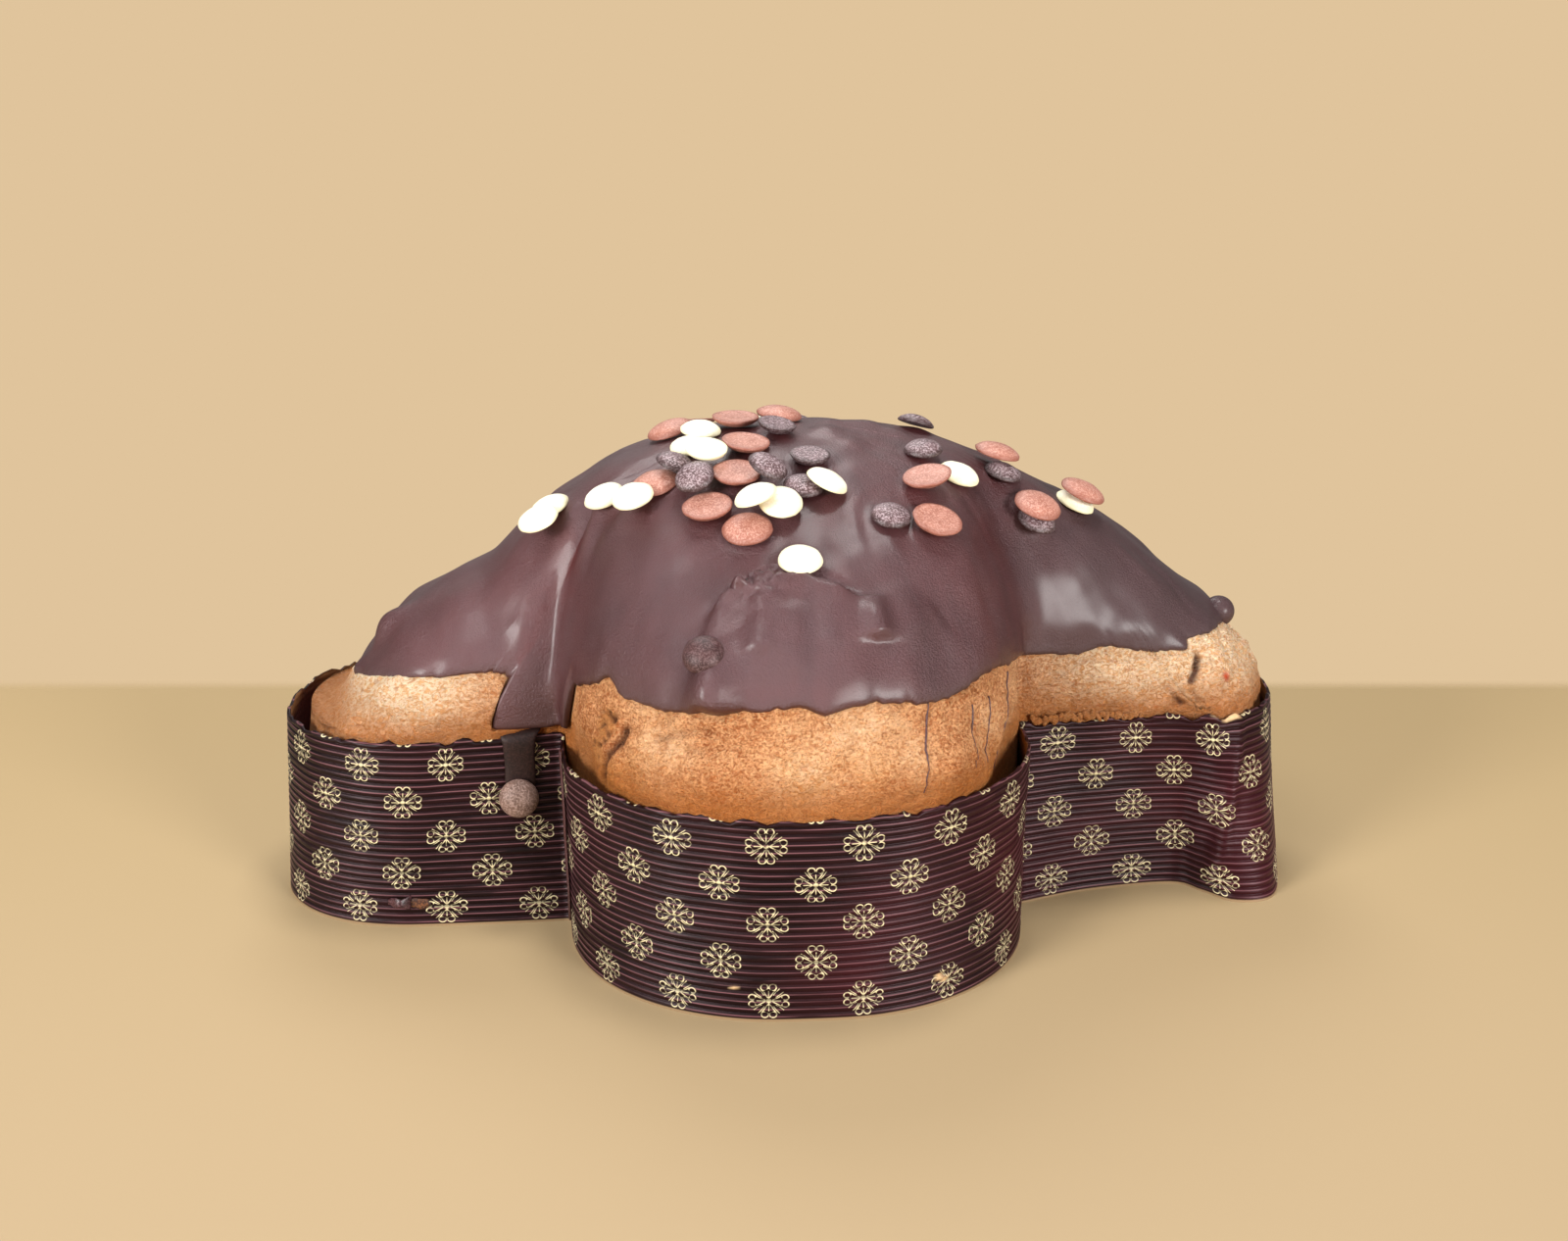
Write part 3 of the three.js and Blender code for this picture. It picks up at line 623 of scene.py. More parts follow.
MOTIF_ACROSS = 24.5             # along the paper, from one motif to the next in its row
ROW_RISE = 10.75                # from one row of motifs to the next
FIRST_ROW = 5.9
MOTIF_SCALE = 1.03
MOTIF_STRETCH = 1.1             # wider than high
# One eighth of the motif, from its eye outward: a is along the nearer axis, b across it.
PETAL_SIDE = ((0.9, 0.15), (3.1, 1.6))
PETAL_STEM = ((0.5, 0.0), (2.7, 0.0))
CURL_AT = (3.75, 0.95)
CURL_RADIUS = 0.82
RAY_FROM, RAY_TO = 1.9, 4.2
EYE_RADIUS = 0.55
DOT_AT = (0.0, 6.2)
DOT_RADIUS = 0.42
HALF_ROOT = 0.7071              # sine of 45 degrees


def flower_print(place):
    """Mask of a staggered print of small four-petalled flowers, on the paper's own map in metres."""
    flat = place.node("ShaderNodeUVMap", {}, uv_map="paper")
    along, height = flat.axis(0) * 1000, flat.axis(1) * 1000
    row = (height - (FIRST_ROW - ROW_RISE / 2)) / ROW_RISE
    row_number = row.maths("FLOOR", row)
    v = (row - row_number - 0.5) * ROW_RISE
    stagger = row_number.maths("PINGPONG", row_number, 1.0) * (MOTIF_ACROSS / 2)
    cell = (along + stagger) / MOTIF_ACROSS
    u = (cell.maths("FRACT", cell) - 0.5) * MOTIF_ACROSS
    du, dv = abs(u) / MOTIF_STRETCH, abs(v)
    a = du.maths("MAXIMUM", du, dv) / MOTIF_SCALE
    b = du.maths("MINIMUM", du, dv) / MOTIF_SCALE

    def line(distance, half):
        return 1 - abs(distance).smooth(half * 0.6, half * 1.35)

    def to_point(x, y, point=(0.0, 0.0)):
        return x.maths("SQRT", (x - point[0]) ** 2 + (y - point[1]) ** 2)

    def to_segment(start, end):
        step = (end[0] - start[0], end[1] - start[1])
        square = step[0] ** 2 + step[1] ** 2
        t = ((a - start[0]) * (step[0] / square) + (b - start[1]) * (step[1] / square)).limit()
        return a.maths("SQRT", (a - start[0] - t * step[0]) ** 2 + (b - start[1] - t * step[1]) ** 2)

    # a petal: two sides that open from the eye, closed at the outer end by two curls
    side = line(to_segment(*PETAL_SIDE), 0.13)
    curl = line(to_point(a, b, CURL_AT) - CURL_RADIUS, 0.14) * (a + b * 0.6 > 3.5)
    stem = line(to_segment(*PETAL_STEM), 0.11)
    # two short rays on each diagonal
    skew, deep = (a - b) * HALF_ROOT, (a + b) * HALF_ROOT
    ray = line(skew - 0.45 - (deep - 2.2) * 0.12, 0.1) * (deep > RAY_FROM) * (deep < RAY_TO)
    mark = side
    eye = line(to_point(a, b), EYE_RADIUS)
    outer_dot = line(to_point(du, dv, DOT_AT), DOT_RADIUS)
    for part in (curl, stem, ray, eye, outer_dot):
        mark = mark.maths("MAXIMUM", mark, part)
    # Painted shade: the print is drawn fainter down in the ribs' valleys and full on their crests.
    rib = 0.5 - 0.5 * height.maths("COSINE", height * (2 * math.pi * RIBS / CASE_HEIGHT))
    worn = (place.noise(900, 3) * 0.6 + place.noise(160, 2) * 0.4).smooth(0.3, 0.45)
    return mark * worn * (0.3 + 0.7 * rib), height


def paper_outside():
    material, shader, place = start_material("printed_paper")
    mark, height = flower_print(place)
    blotch = place.noise(28, 4, 0.6)
    fibre = place.noise(1.0, 4, 0.6, stretch=(260, 260, 2600))
    streak = place.noise(1.0, 3, 0.6, stretch=(45, 45, 1100))
    tone = (streak * 0.5 + blotch * 0.5).smooth(0.34, 0.68)
    base = tone.mix(colour("0a0102"), colour("22090d"))
    # Painted highlight: a thin light line on the upper slope of each rib, where the lamps above would glint,
    # broken up by the streak noise.
    phase = height * (RIBS / CASE_HEIGHT) - 0.16
    crest = (1 - abs(phase.maths("FRACT", phase) - 0.5).smooth(0.02, 0.11)) * streak.smooth(0.3, 0.62)
    base = crest.mix(base, colour("6d474c"))
    red = place.noise(9, 3).smooth(0.5, 0.74) * 0.55
    base = red.mix(base, colour("45101a"))
    gold = fibre.mix(colour("a69367"), colour("f6ecc2"))
    base = mark.mix(base, gold)
    torn = attribute(place, "torn")
    base = torn.mix(base, place.noise(400, 3).mix(colour("b98a5a"), colour("e2c79c")))
    foot = 1 - height.smooth(0.35, 0.9)
    base = (foot * 0.7).mix(base, colour("a58a68"))
    feed(shader, base, "Base Color")
    rough = 0.3 + 0.14 * blotch + 0.14 * fibre - 0.1 * mark + 0.3 * torn
    feed(shader, rough, "Roughness")
    feed(shader, bump(fibre * 0.6 + place.noise(1400, 3) * 0.4 + mark * 0.2, 0.00016, 0.6), "Normal")
    shader.inputs["Specular IOR Level"].default_value = 0.22
    shader.inputs["Specular Tint"].default_value = (1.0, 0.84, 0.88, 1)
    return material


def paper_inside():
    material, shader, place = start_material("bare_paper")
    blotch = place.noise(60, 5, 0.6)
    deep = place.noise(18, 3)
    height = place.axis(2)
    base = blotch.mix(colour("6d4326"), colour("b98a58"))
    # Painted shade: the inside turns dark red further down the case, below the rim, where the walls shut out
    # the light; the noise adds dark red patches at random.
    inner = (height.smooth(0.0535, 0.047) + deep.smooth(0.5, 0.7)).limit()
    base = inner.mix(base, colour("4a1512"))
    feed(shader, base, "Base Color")
    feed(shader, 0.5 + 0.3 * blotch, "Roughness")
    feed(shader, bump(place.noise(1200, 3), 0.0002), "Normal")
    return material


def baked_crust():
    material, shader, place = start_material("baked_crust")
    along, height = place.axis(0), place.axis(2)
    patch = place.noise(34, 4, 0.6)
    grain = place.noise(1.0, 5, 0.7, stretch=(620, 620, 900), distortion=1.3)
    speck = place.noise(1500, 3, 0.6)
    fleck = place.noise(1.0, 2, 0.5, stretch=(260, 260, 520))
    tone = (0.26 * patch + 0.42 * grain + 0.32 * speck).smooth(0.38, 0.59)
    base = tone.mix(colour("a85a26"), colour("f5b67f"))
    yellow = place.noise(21, 3).smooth(0.52, 0.7) * (1 - height.smooth(0.062, 0.075)) * 0.5
    base = yellow.mix(base, colour("e6ac55"))
    # Painted light: the crust is painted paler towards the head and the tail, standing in for the light that
    # falls on them; the patch noise adds pale patches at random.
    ends = along.smooth(-0.07, -0.11) * 0.95 + along.smooth(0.05, 0.09) * 0.65
    pale = (patch.smooth(0.45, 0.75) * 0.4 + ends).limit()
    base = pale.mix(base, grain.smooth(0.4, 0.58).mix(colour("eab27a"), colour("ffe9c9")))
    low = 1 - height.smooth(0.0565, 0.0715)
    base = (low * 0.85).mix(base, grain.mix(colour("8f4a12"), colour("c8772b")))
    base = (fleck.smooth(0.64, 0.7) * 0.45).mix(base, colour("b3642f"))
    torn, deep = attribute(place, "torn"), attribute(place, "deep")
    base = (torn * 0.85).mix(base, speck.mix(colour("a8602a"), colour("dd9a58")))
    # Painted shade: dark inside the cracks and the torn crumb's pores.
    base = deep.limit().mix(base, colour("4c1d0d"))
    base = attribute(place, "berry").mix(base, colour("c8461f"))
    feed(shader, base, "Base Color")
    feed(shader, 0.62 + 0.25 * grain, "Roughness")
    rough_skin = bump(grain, 0.0026, 1.0)
    feed(shader, bump(speck * 0.6 + fleck * 0.4, 0.0009, 0.9, rough_skin), "Normal")
    shader.inputs["Specular IOR Level"].default_value = 0.3
    shader.inputs["Subsurface Weight"].default_value = 0.12
    shader.inputs["Subsurface Radius"].default_value = (0.004, 0.002, 0.001)
    shader.inputs["Subsurface Scale"].default_value = 1.0
    return material


def poured_glaze():
    material, shader, place = start_material("poured_glaze")
    cloud = place.noise(22, 5, 0.6)
    fine = place.noise(1500, 4, 0.7)
    lane = attribute(place, "lane")
    streak = lane.noise(1.0, 4, 0.6)
    base = (0.6 * cloud + 0.4 * streak).smooth(0.32, 0.68).mix(colour("321011"), colour("4b2020"))
    bare = attribute(place, "wet")
    base = (bare * 0.9).limit().mix(base, colour("4c0f0c"))
    # Painted shade: the glaze is painted darker towards the tail, standing in for the shade there.
    tail = place.axis(0).smooth(0.055, 0.085)
    base = (tail * 0.65).mix(base, colour("1c0808"))
    # Painted shade: the pour is painted darker along its lower edge.
    edge = attribute(place, "edge")
    base = (edge * 0.5).limit().mix(base, colour("2c1514"))
    feed(shader, base, "Base Color")
    rough = 0.26 + 0.12 * cloud + 0.2 * fine - 0.1 * bare + 0.2 * tail
    feed(shader, rough, "Roughness")
    skin = bump(fine, 0.0006, 0.7)
    feed(shader, bump(streak, 0.0008, 0.3, skin), "Normal")
    shader.inputs["Specular IOR Level"].default_value = 0.85
    shader.inputs["Specular Tint"].default_value = (1.0, 0.82, 0.88, 1)
    shader.inputs["Coat Weight"].default_value = 0.28
    shader.inputs["Coat Roughness"].default_value = 0.26
    return material


def chocolate(name, dark, light, powder, rim, bloom, rough, sheen=0.5):
    """Finish of the set chocolate of the discs: cloudy, with a dusty face and a cleaner rim that is painted
    darker, as painted shade on the disc's side.
    """
    material, shader, place = start_material(name)
    cloud = place.noise(240, 4, 0.6)
    dust = place.noise(1900, 4, 0.65)
    base = (0.6 * cloud + 0.4 * dust).smooth(0.3, 0.7).mix(colour(dark), colour(light))
    base = (dust.smooth(0.45, 0.62) * bloom).mix(base, colour(powder))
    # Painted shade: the disc's outer ring, its side, takes the darker rim colour.
    base = (attribute(place, "rim") * 0.75).mix(base, colour(rim))
    feed(shader, base, "Base Color")
    feed(shader, rough + 0.15 * dust, "Roughness")
    feed(shader, bump(dust * 0.6 + cloud * 0.4, 0.00025, 0.5), "Normal")
    shader.inputs["Specular IOR Level"].default_value = sheen
    return material


PRINTED = paper_outside()
BARE = paper_inside()
CRUST = baked_crust()
GLAZE = poured_glaze()
# The last colour of each is the painted shade of its rim.
CHOCOLATES = {
    "white": chocolate("white_chocolate", "f4ecc9", "fdf8e8", "fffef8", "efe5b8", 0.3, 0.36),
    "milk": chocolate("milk_chocolate", "945a49", "b87d6b", "dcb0a2", "82493a", 0.5, 0.42),
    "dark": chocolate("dark_chocolate", "3a2324", "6b4f52", "b9a6ab", "27110f", 0.75, 0.4),
    "drop": chocolate("dark_drop", "2e1717", "4f3131", "8d7475", "2a1514", 0.3, 0.42, 0.35),
    "speckled": chocolate("speckled_chocolate", "523a30", "806358", "ab9187", "4a332a", 0.55, 0.5),
}
# small damage and the set drip; the drip's darker colours are painted shade
# Painted shade: the hole's floor runs from near black, the shade in the hole, to the bare sheet's brown.
HOLLOW = chocolate("torn_sheet_in_shade", "150503", "4c2411", "9a6234", "120403", 0.35, 0.6)
# Painted shade: the drip is the glaze in near-black colours, for the shade that it hangs in.
DRIP = chocolate("drip_in_painted_shade", "140807", "26120f", "47302b", "140807", 0.25, 0.42, 0.25)
PEELED = chocolate("peeled_print", "1c070a", "3a161c", "8d656b", "1c070a", 0.25, 0.26)


# ---------------------------------------------------------------- paper case
RIB_ROWS = 6                    # rows of points for each rib
INNER_ROWS = 42
COLUMNS_OF_PAPER = 456
EVEN_TOP = 53                   # above this height the ribs follow the ragged rim
PRINT_ORIGIN = (-4.2, -96)      # on the near wing, where the print's map starts
MAP_SHIFT = 0.5                 # keeps the map's way round the paper above zero
# Spots where the print is rubbed or torn off: x, y, z and radius.
RUBBED = [(33.6, -88.9, 7.6, 1.3), (35.3, -88.4, 6.6, 0.9), (-20.2, -94.8, 9.3, 0.6),
          (124, -32.2, 55.8, 2.0), (127, -31, 56, 1.6), (121, -33, 56.3, 1.2)]


def evenly(ring, guide, count):
    """Points of a ring at even steps of the way round a guide ring, and the way to each."""
    closed = np.vstack([guide, guide[:1]])
    way = np.concatenate([[0], np.linalg.norm(np.diff(closed, axis=0), axis=1).cumsum()])
    at = way[-1] * np.arange(count) / count
    shut = np.vstack([ring, ring[:1]])
    return np.column_stack([np.interp(at, way, shut[:, k]) for k in (0, 1)]), at


def tail_fold(place, z):
    """Outward shift of the paper at the groove and the sharp ridge of the near side's tail."""
    near = smoothstep(-place[..., 1], 5, 15)
    groove = bell(place[..., 0] - 114.5 - 0.02 * z, 3.0)
    crest = bell(place[..., 0] - 121.5 - 0.13 * z, 1.7)
    return (1.7 * crest - 0.6 * groove) * near * smoothstep(z, 0.5, 8) * (1 - 0.7 * smoothstep(z, 44, 56))


def rib_rows(rim_top):
    """Heights of the outer sheet's rows, up to the ragged rim, and how far out each is on its rib."""
    turn = np.arange(RIBS * RIB_ROWS + 1) * math.pi / RIB_ROWS
    level = (np.floor(turn / math.pi + 1e-6) + 0.5 - 0.5 * np.cos(turn % math.pi + 1e-9)) / RIBS
    level[::RIB_ROWS] = np.arange(RIBS + 1) / RIBS
    even = level * CASE_HEIGHT
    stretch = np.clip(even - EVEN_TOP, 0, CASE_HEIGHT - EVEN_TOP) / (CASE_HEIGHT - EVEN_TOP)
    z = np.minimum(even, EVEN_TOP)[None, :] + stretch[None, :] * (rim_top[:, None] - EVEN_TOP)
    return z, np.abs(np.sin(turn))


def print_map(piece, ring, way, heights):
    """The print's own map: the way round the paper and the height, both in metres."""
    start = np.argmin(np.hypot(*(ring - PRINT_ORIGIN).T))
    u = np.repeat((way - way[start])[:, None], heights.shape[1], 1)
    uv = np.column_stack([u.ravel() + PRINT_START, heights.ravel()]) * MM
    corners = np.empty(len(piece.data.loops), np.int32)
    piece.data.loops.foreach_get("vertex_index", corners)
    layer = piece.data.uv_layers.new(name="paper")
    layer.data.foreach_set("uv", (uv[corners] + (MAP_SHIFT, 0)).astype(np.float32).ravel())


def paper_case():
    """Ribbed outer sheet, plain inner sheet and floor, as one closed body."""
    middle = (FOOT_RING + RIM_RING) / 2
    mean_ring, way = evenly(middle, middle, COLUMNS_OF_PAPER)
    foot, rim = (evenly(ring, middle, COLUMNS_OF_PAPER)[0] for ring in (FOOT_RING, RIM_RING))
    out = outward(rim)
    rim_top = CASE_HEIGHT - 0.6 + unevenness(mean_ring, (0.6, 12, 31), (0.4, 4.5, 32))
    sway = unevenness(mean_ring, (0.35, 26, 33))
    gap = stand_off(rim)

    def wall(z):
        return foot[:, None, :] + (rim - foot)[:, None, :] * (z / CASE_HEIGHT)[..., None]

    def lean(plan, z):
        """How far the sheet sways out, stands off the crust and folds at the tail."""
        return ((sway[:, None] - 0.4) * 0.8 * smoothstep(z, 8, 40)
                + 0.35 * gap[:, None] * smoothstep(z, 20, CASE_HEIGHT) + tail_fold(plan, z))

    z, rib = rib_rows(rim_top)
    plan = wall(z)
    depth = RIB_DEPTH * (rib - 1) * smoothstep(z, 0.3, 1.2) + lean(plan, z)
    outer = np.dstack([plan + out[:, None, :] * depth[..., None], z])

    drop = np.linspace(0, 1, INNER_ROWS) ** 1.7
    z = rim_top[:, None] + (FLOOR - rim_top[:, None]) * drop[None, :]
    plan = wall(z)
    rib = 0.25 * (0.5 - 0.5 * np.cos(2 * math.pi * z * RIBS / CASE_HEIGHT)) * (drop[None, :] < 0.3)
    depth = PAPER * 0.85 + rib - lean(plan, z)
    inner = np.dstack([plan - out[:, None, :] * depth[..., None], z])

    grid = np.concatenate([outer, inner], axis=1)
    count = grid.shape[1]
    first = np.arange(COLUMNS_OF_PAPER) * count
    faces = grid_faces(COLUMNS_OF_PAPER, count) + lid(first, up=False) + lid(first + count - 1)
    points = inside_box(grid.reshape(-1, 3))
    piece = make_mesh("paper_wall", points, faces)
    print_map(piece, mean_ring, way, grid[..., 2])

    torn = np.zeros(len(points))
    for *place, radius in RUBBED:
        d = np.linalg.norm(points - place, axis=1)
        torn = np.maximum(torn, 1 - smoothstep(d, radius * 0.7, radius * 1.2))
    paint(piece, "torn", torn)
    finish_piece(piece, "paper", PRINTED, "paper_case")
    piece.data.materials.append(BARE)
    inside = np.zeros(len(piece.data.polygons), np.int32)
    row = np.arange(COLUMNS_OF_PAPER * (count - 1)) % (count - 1)
    inside[:len(row)] = row >= outer.shape[1]
    inside[len(row) + COLUMNS_OF_PAPER // 2:] = 1
    piece.data.polygons.foreach_set("material_index", inside)
    return piece


# ---------------------------------------------------------------- crust
# Folds and cracks of the crust: line, width, depth, and how much painted shade darkens it inside.
CREASES = [
    ([(-41, -79.3, 71), (-35.7, -82.1, 73.1), (-30.8, -84.3, 75.2), (-27, -85.4, 76.3), (-22, -87.9, 75.4)],
     1.1, -1.3, 0.15),
    ([(-38, -81.5, 67.5), (-34, -84, 66.5), (-31, -85.5, 67)], 0.9, -0.6, 0.1),
    ([(-36, -82, 76), (-30, -85, 78), (-24, -87.5, 78.5)], 2.0, 0.9, 0),
    ([(-45.6, -73, 74), (-47.2, -73.4, 68.6), (-48.9, -72.6, 65), (-51, -71, 58.7), (-53, -70, 55)],
     1.1, -2.2, 0.4),
    ([(116.6, -25.6, 76), (115.6, -26.8, 71.2), (114.1, -28.9, 67.3), (112.6, -29.8, 64.1)], 1.0, -2.3, 0.6),
    ([(105.5, -30, 65), (109.1, -30, 60.7), (111.5, -29.9, 57.6)], 0.9, -1.6, 0.5),
    ([(112.6, -29.8, 64), (116, -30, 59.5), (120, -30.5, 57)], 0.8, -1.1, 0.3),
    ([(-120, -33, 66), (-112, -36, 64.5), (-104, -38, 66)], 1.3, -0.8, 0),
    ([(60, -44, 74), (62, -40, 68), (63, -37.5, 61)], 1.3, -0.8, 0.1),
    ([(70, -34, 68), (80, -32, 65), (90, -31, 67)], 1.4, -0.7, 0),
]
TORN_CRUMB = [(-51, -67.8, 71, 5.5), (-53.2, -67.1, 64, 5), (-55.5, -62, 60, 4.5)]
BERRY = (123.3, -28.7, 66.4, 2.2)


# Where the crust stands off the paper: x, y, reach and depth.
GAPS = [(56, -58, 20, 4.6), (56, 60, 19, 2.6), (-57, -56, 15, 3.6), (-57, 56, 15, 2.2), (-142, 0, 26, 1.2),
        (142, 0, 20, 2.2), (115, -29, 17, 1.5), (137, -19, 11, 1.6), (137, 19, 11, 1.6)]


def stand_off(ring):
    out = np.zeros(len(ring))
    for x, y, reach, depth in GAPS:
        out += depth * np.exp(-((ring[:, 0] - x) ** 2 + (ring[:, 1] - y) ** 2) / (0.5 * reach ** 2))
    return out


SHOWN_ROWS = 50                 # rows of points from the rim to just under the glaze
UNDER_GLAZE = 4                 # how far the fine rows go on under the glaze
SUNK = 0.9                      # how far the crust lies below its own form there
# Rows below the rim: share of the way from the foot's outline to the crust's, and height.
SIDE_LEVELS = [(0.0, 1.5), (0.5, 28), (0.8, 45), (0.92, 51), (0.97, 54)]


def crust_form(band, above):
    """How far the crust's skin and its lip over the paper stand out, where it is torn, and the painted shade
    in its cracks and its crumb's pores.
    """
    x = band[..., 0]
    lumpy = 1 + unevenness(band, (0.4, 22, 41))
    open_side = (smoothstep(np.hypot(x, band[..., 1]), 78, 92) * (1 - 0.3 * smoothstep(-x, 128, 142))
                 * (1 - 0.8 * smoothstep(x, 108, 136)))
    swell = 2.1 * open_side * lumpy * np.sin(math.pi * np.clip((above + 1.2) / 17, 0, 1)) ** 0.8
    skin = unevenness(band, (0.5, 13, 42), (0.28, 5, 43), (0.13, 2.4, 44))
    torn = np.zeros(x.shape)
    for *place, size in TORN_CRUMB:
        torn = np.maximum(torn, 1 - smoothstep(np.linalg.norm(band - place, axis=2), size * 0.5, size))
    holes = np.maximum(unevenness(band, (1, 3.0, 45)) - 0.1, 0) * torn
    cuts = [ridge(band, line, width, height) for line, width, height, _ in CREASES]
    shade = sum(np.abs(one) ** 1.5 * dark for one, (*_, dark) in zip(cuts, CREASES))
    # the skin is calm right above the paper, so that it doesn't cut into it
    calm = smoothstep(above, -1, 3)
    form = swell + skin * (0.35 + 0.65 * calm) * 0.8 - 1.5 * holes + sum(cuts)
    lip = 0.4 * smoothstep(-above, -3.5, -0.6) * open_side * lumpy
    # The last value is painted shade: darkness in the creases and in the torn crumb's pores.
    return form, lip, torn, np.clip(shade, 0, 0.9) + np.clip(holes * 1.3, 0, 0.9)


def baked_cake():
    """The crust from the case's floor to the crown; fine where it shows between rim and glaze."""
    top = edge_way + UNDER_GLAZE
    way = top[:, None] * (np.linspace(0, 1, SHOWN_ROWS) ** 1.25)[None, :]
    band = on_spokes(way)
    above = band[..., 2] - RIM_LEVEL
    form, lip, torn, dark = crust_form(band, above)
    covered = smoothstep(way - edge_way[:, None], -0.2, 1.2)
    gap = stand_off(crust_ring)
    tuck = gap[:, None] * (1 - smoothstep(above, 1, 15))
    band = band + normals_of(band) * (form * (1 - covered) - SUNK * covered)[..., None]
    out = np.pad(crust_outward, ((0, 0), (0, 1)))[:, None, :]
    band = band + out * (lip * (1 - covered) - tuck)[..., None]

    foot_ring = inset(FOOT_RING, CRUST_FIT)
    side = np.stack([np.column_stack([foot_ring + (crust_ring - foot_ring) * share
                                      - crust_outward * (gap * share)[:, None], np.full(columns, z)])
                     for share, z in SIDE_LEVELS], axis=1)
    cap_way = top[:, None] + (spoke_way[:, -1] - 0.5 - top)[:, None] * np.linspace(0.12, 1, 7)[None, :]
    grid = np.concatenate([side, band, on_spokes(cap_way)], axis=1)
    count = grid.shape[1]
    first = np.arange(columns) * count
    points = np.vstack([inside_box(grid.reshape(-1, 3)), [0, 0, spoke_z[:, -1].mean()]])
    faces = grid_faces(columns, count) + lid(first, up=False) + fan(first + count - 1, columns * count)
    piece = make_mesh("baked_cake", points, faces)
    *berry, size = BERRY
    red = 1 - smoothstep(np.linalg.norm(band - berry, axis=2), 0.4, size)
    # deep carries the painted shade of the cracks and pores.
    for name, values in (("torn", torn), ("deep", dark), ("berry", red)):
        paint(piece, name, on_rows(values, len(SIDE_LEVELS), count, 1))
    return finish_piece(piece, "crust", CRUST, "cake")


# ---------------------------------------------------------------- glaze
GLAZE_ROWS = 122
WET_LINE = [(-60.5, -25, 106), (-64.5, -28, 97), (-69, -30, 89.5), (-72.5, -32.5, 81), (-75, -34, 75)]
BRIDGING = 24                   # rounds of softening that carry the pour over sharp creases
LIP_STEPS = np.array([0, 0.1, 0.3, 0.6, 1.0, 1.5, 2.2])
INNER_SHARES = np.array([1, 0.7, 0.4, 0.15, 0.03])    # rows of the pour's inner face, from the crown
WET_HALF = 4.2
SETTLE = 0.3                    # how far a disc's axis turns to the upright in the soft glaze


def disc_frames():
    """For each disc's node: its centre, its axis (domed side up), radius and thickness."""
    frames = {}
    for name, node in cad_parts.items():
        if not name.startswith("disc_"):
            continue
        points = np.array([v.co for v in node.data.vertices]) / MM
        points = np.unique(points.round(3), axis=0)
        low, high = points.min(0), points.max(0)
        middle = (low + high) / 2
        _, _, axes = np.linalg.svd(points - points.mean(0))
        axis = axes[2]
        along = (points - middle) @ axis
        across = np.linalg.norm((points - middle) - along[:, None] * axis, axis=1)
        flat_side = along[across > 0.5 * across.max()]
        if abs(flat_side.min() - along.min()) > abs(flat_side.max() - along.max()):
            axis = -axis
            along = -along
        centre = middle + axis * (along.max() + along.min()) / 2
        axis = axis * (1 - SETTLE) + np.array([0, 0, SETTLE]) * np.sign(axis[2])
        axis /= np.linalg.norm(axis)
        frames[name] = (centre, axis, across.max(), along.max() - along.min())
    return frames


DISC_FRAMES = disc_frames()


def mounds(points):
    """The glaze rises a little round each disc that it holds."""
    out = np.zeros(points.shape[:-1])
    for centre, _, radius, _ in DISC_FRAMES.values():
        d = np.linalg.norm(points - centre, axis=-1)
        near = d < radius * 2.2
        out[near] = np.maximum(out[near], 0.75 * (1 - smoothstep(d[near], radius * 0.75, radius * 1.5)))
    return out


RELIEF = 1.35                   # how boldly the folds stand out
LOBE_WIDTH = 3.7
LOBE_HEIGHT = 5.2
LIP_REACH = 1.7                 # from the pour's lower edge to its full thickness
THINNEST = 0.9


def sculpted_depth(points, way_up):
    """Thickness of the pour at points of the dome, way_up mm above its lower edge."""
    depth = GLAZE_THICKNESS - 0.8 * bell(way_up, 5) + lumps(points) + wing_ledge(points) + flow_waves(points)
    for line, width, height in FOLDS + CRUMPLES:
        depth = depth + ridge(points, line, width, height * RELIEF)
    depth = depth + ridge(points, LOBE_LINE, LOBE_WIDTH, LOBE_HEIGHT) + mounds(points)
    lip = np.sqrt(1 - (1 - np.clip(way_up / LIP_REACH, 0, 1)) ** 2)
    return np.maximum(depth, THINNEST) * lip


VALLEYS = [(-67, 37), (63, 38)]    # the corners beside the wings, where the pour fills up
VALLEY_REACH = 13
VALLEY_ROUNDS = 70


def bridged(points, above):
    """Rounds the pour out where the dome's valleys would pinch it, less so at its lower edge."""
    hold = 0.25 + 0.75 * smoothstep(above, 2, 13)
    full = round_ring(points, VALLEY_ROUNDS)
    for x, y in VALLEYS:
        near = bell(np.hypot(points[..., 0] - x, np.abs(points[..., 1]) - y), VALLEY_REACH)
        points = points + (full - points) * (np.minimum(1.3 * near, 1) * hold)[..., None]
    return points


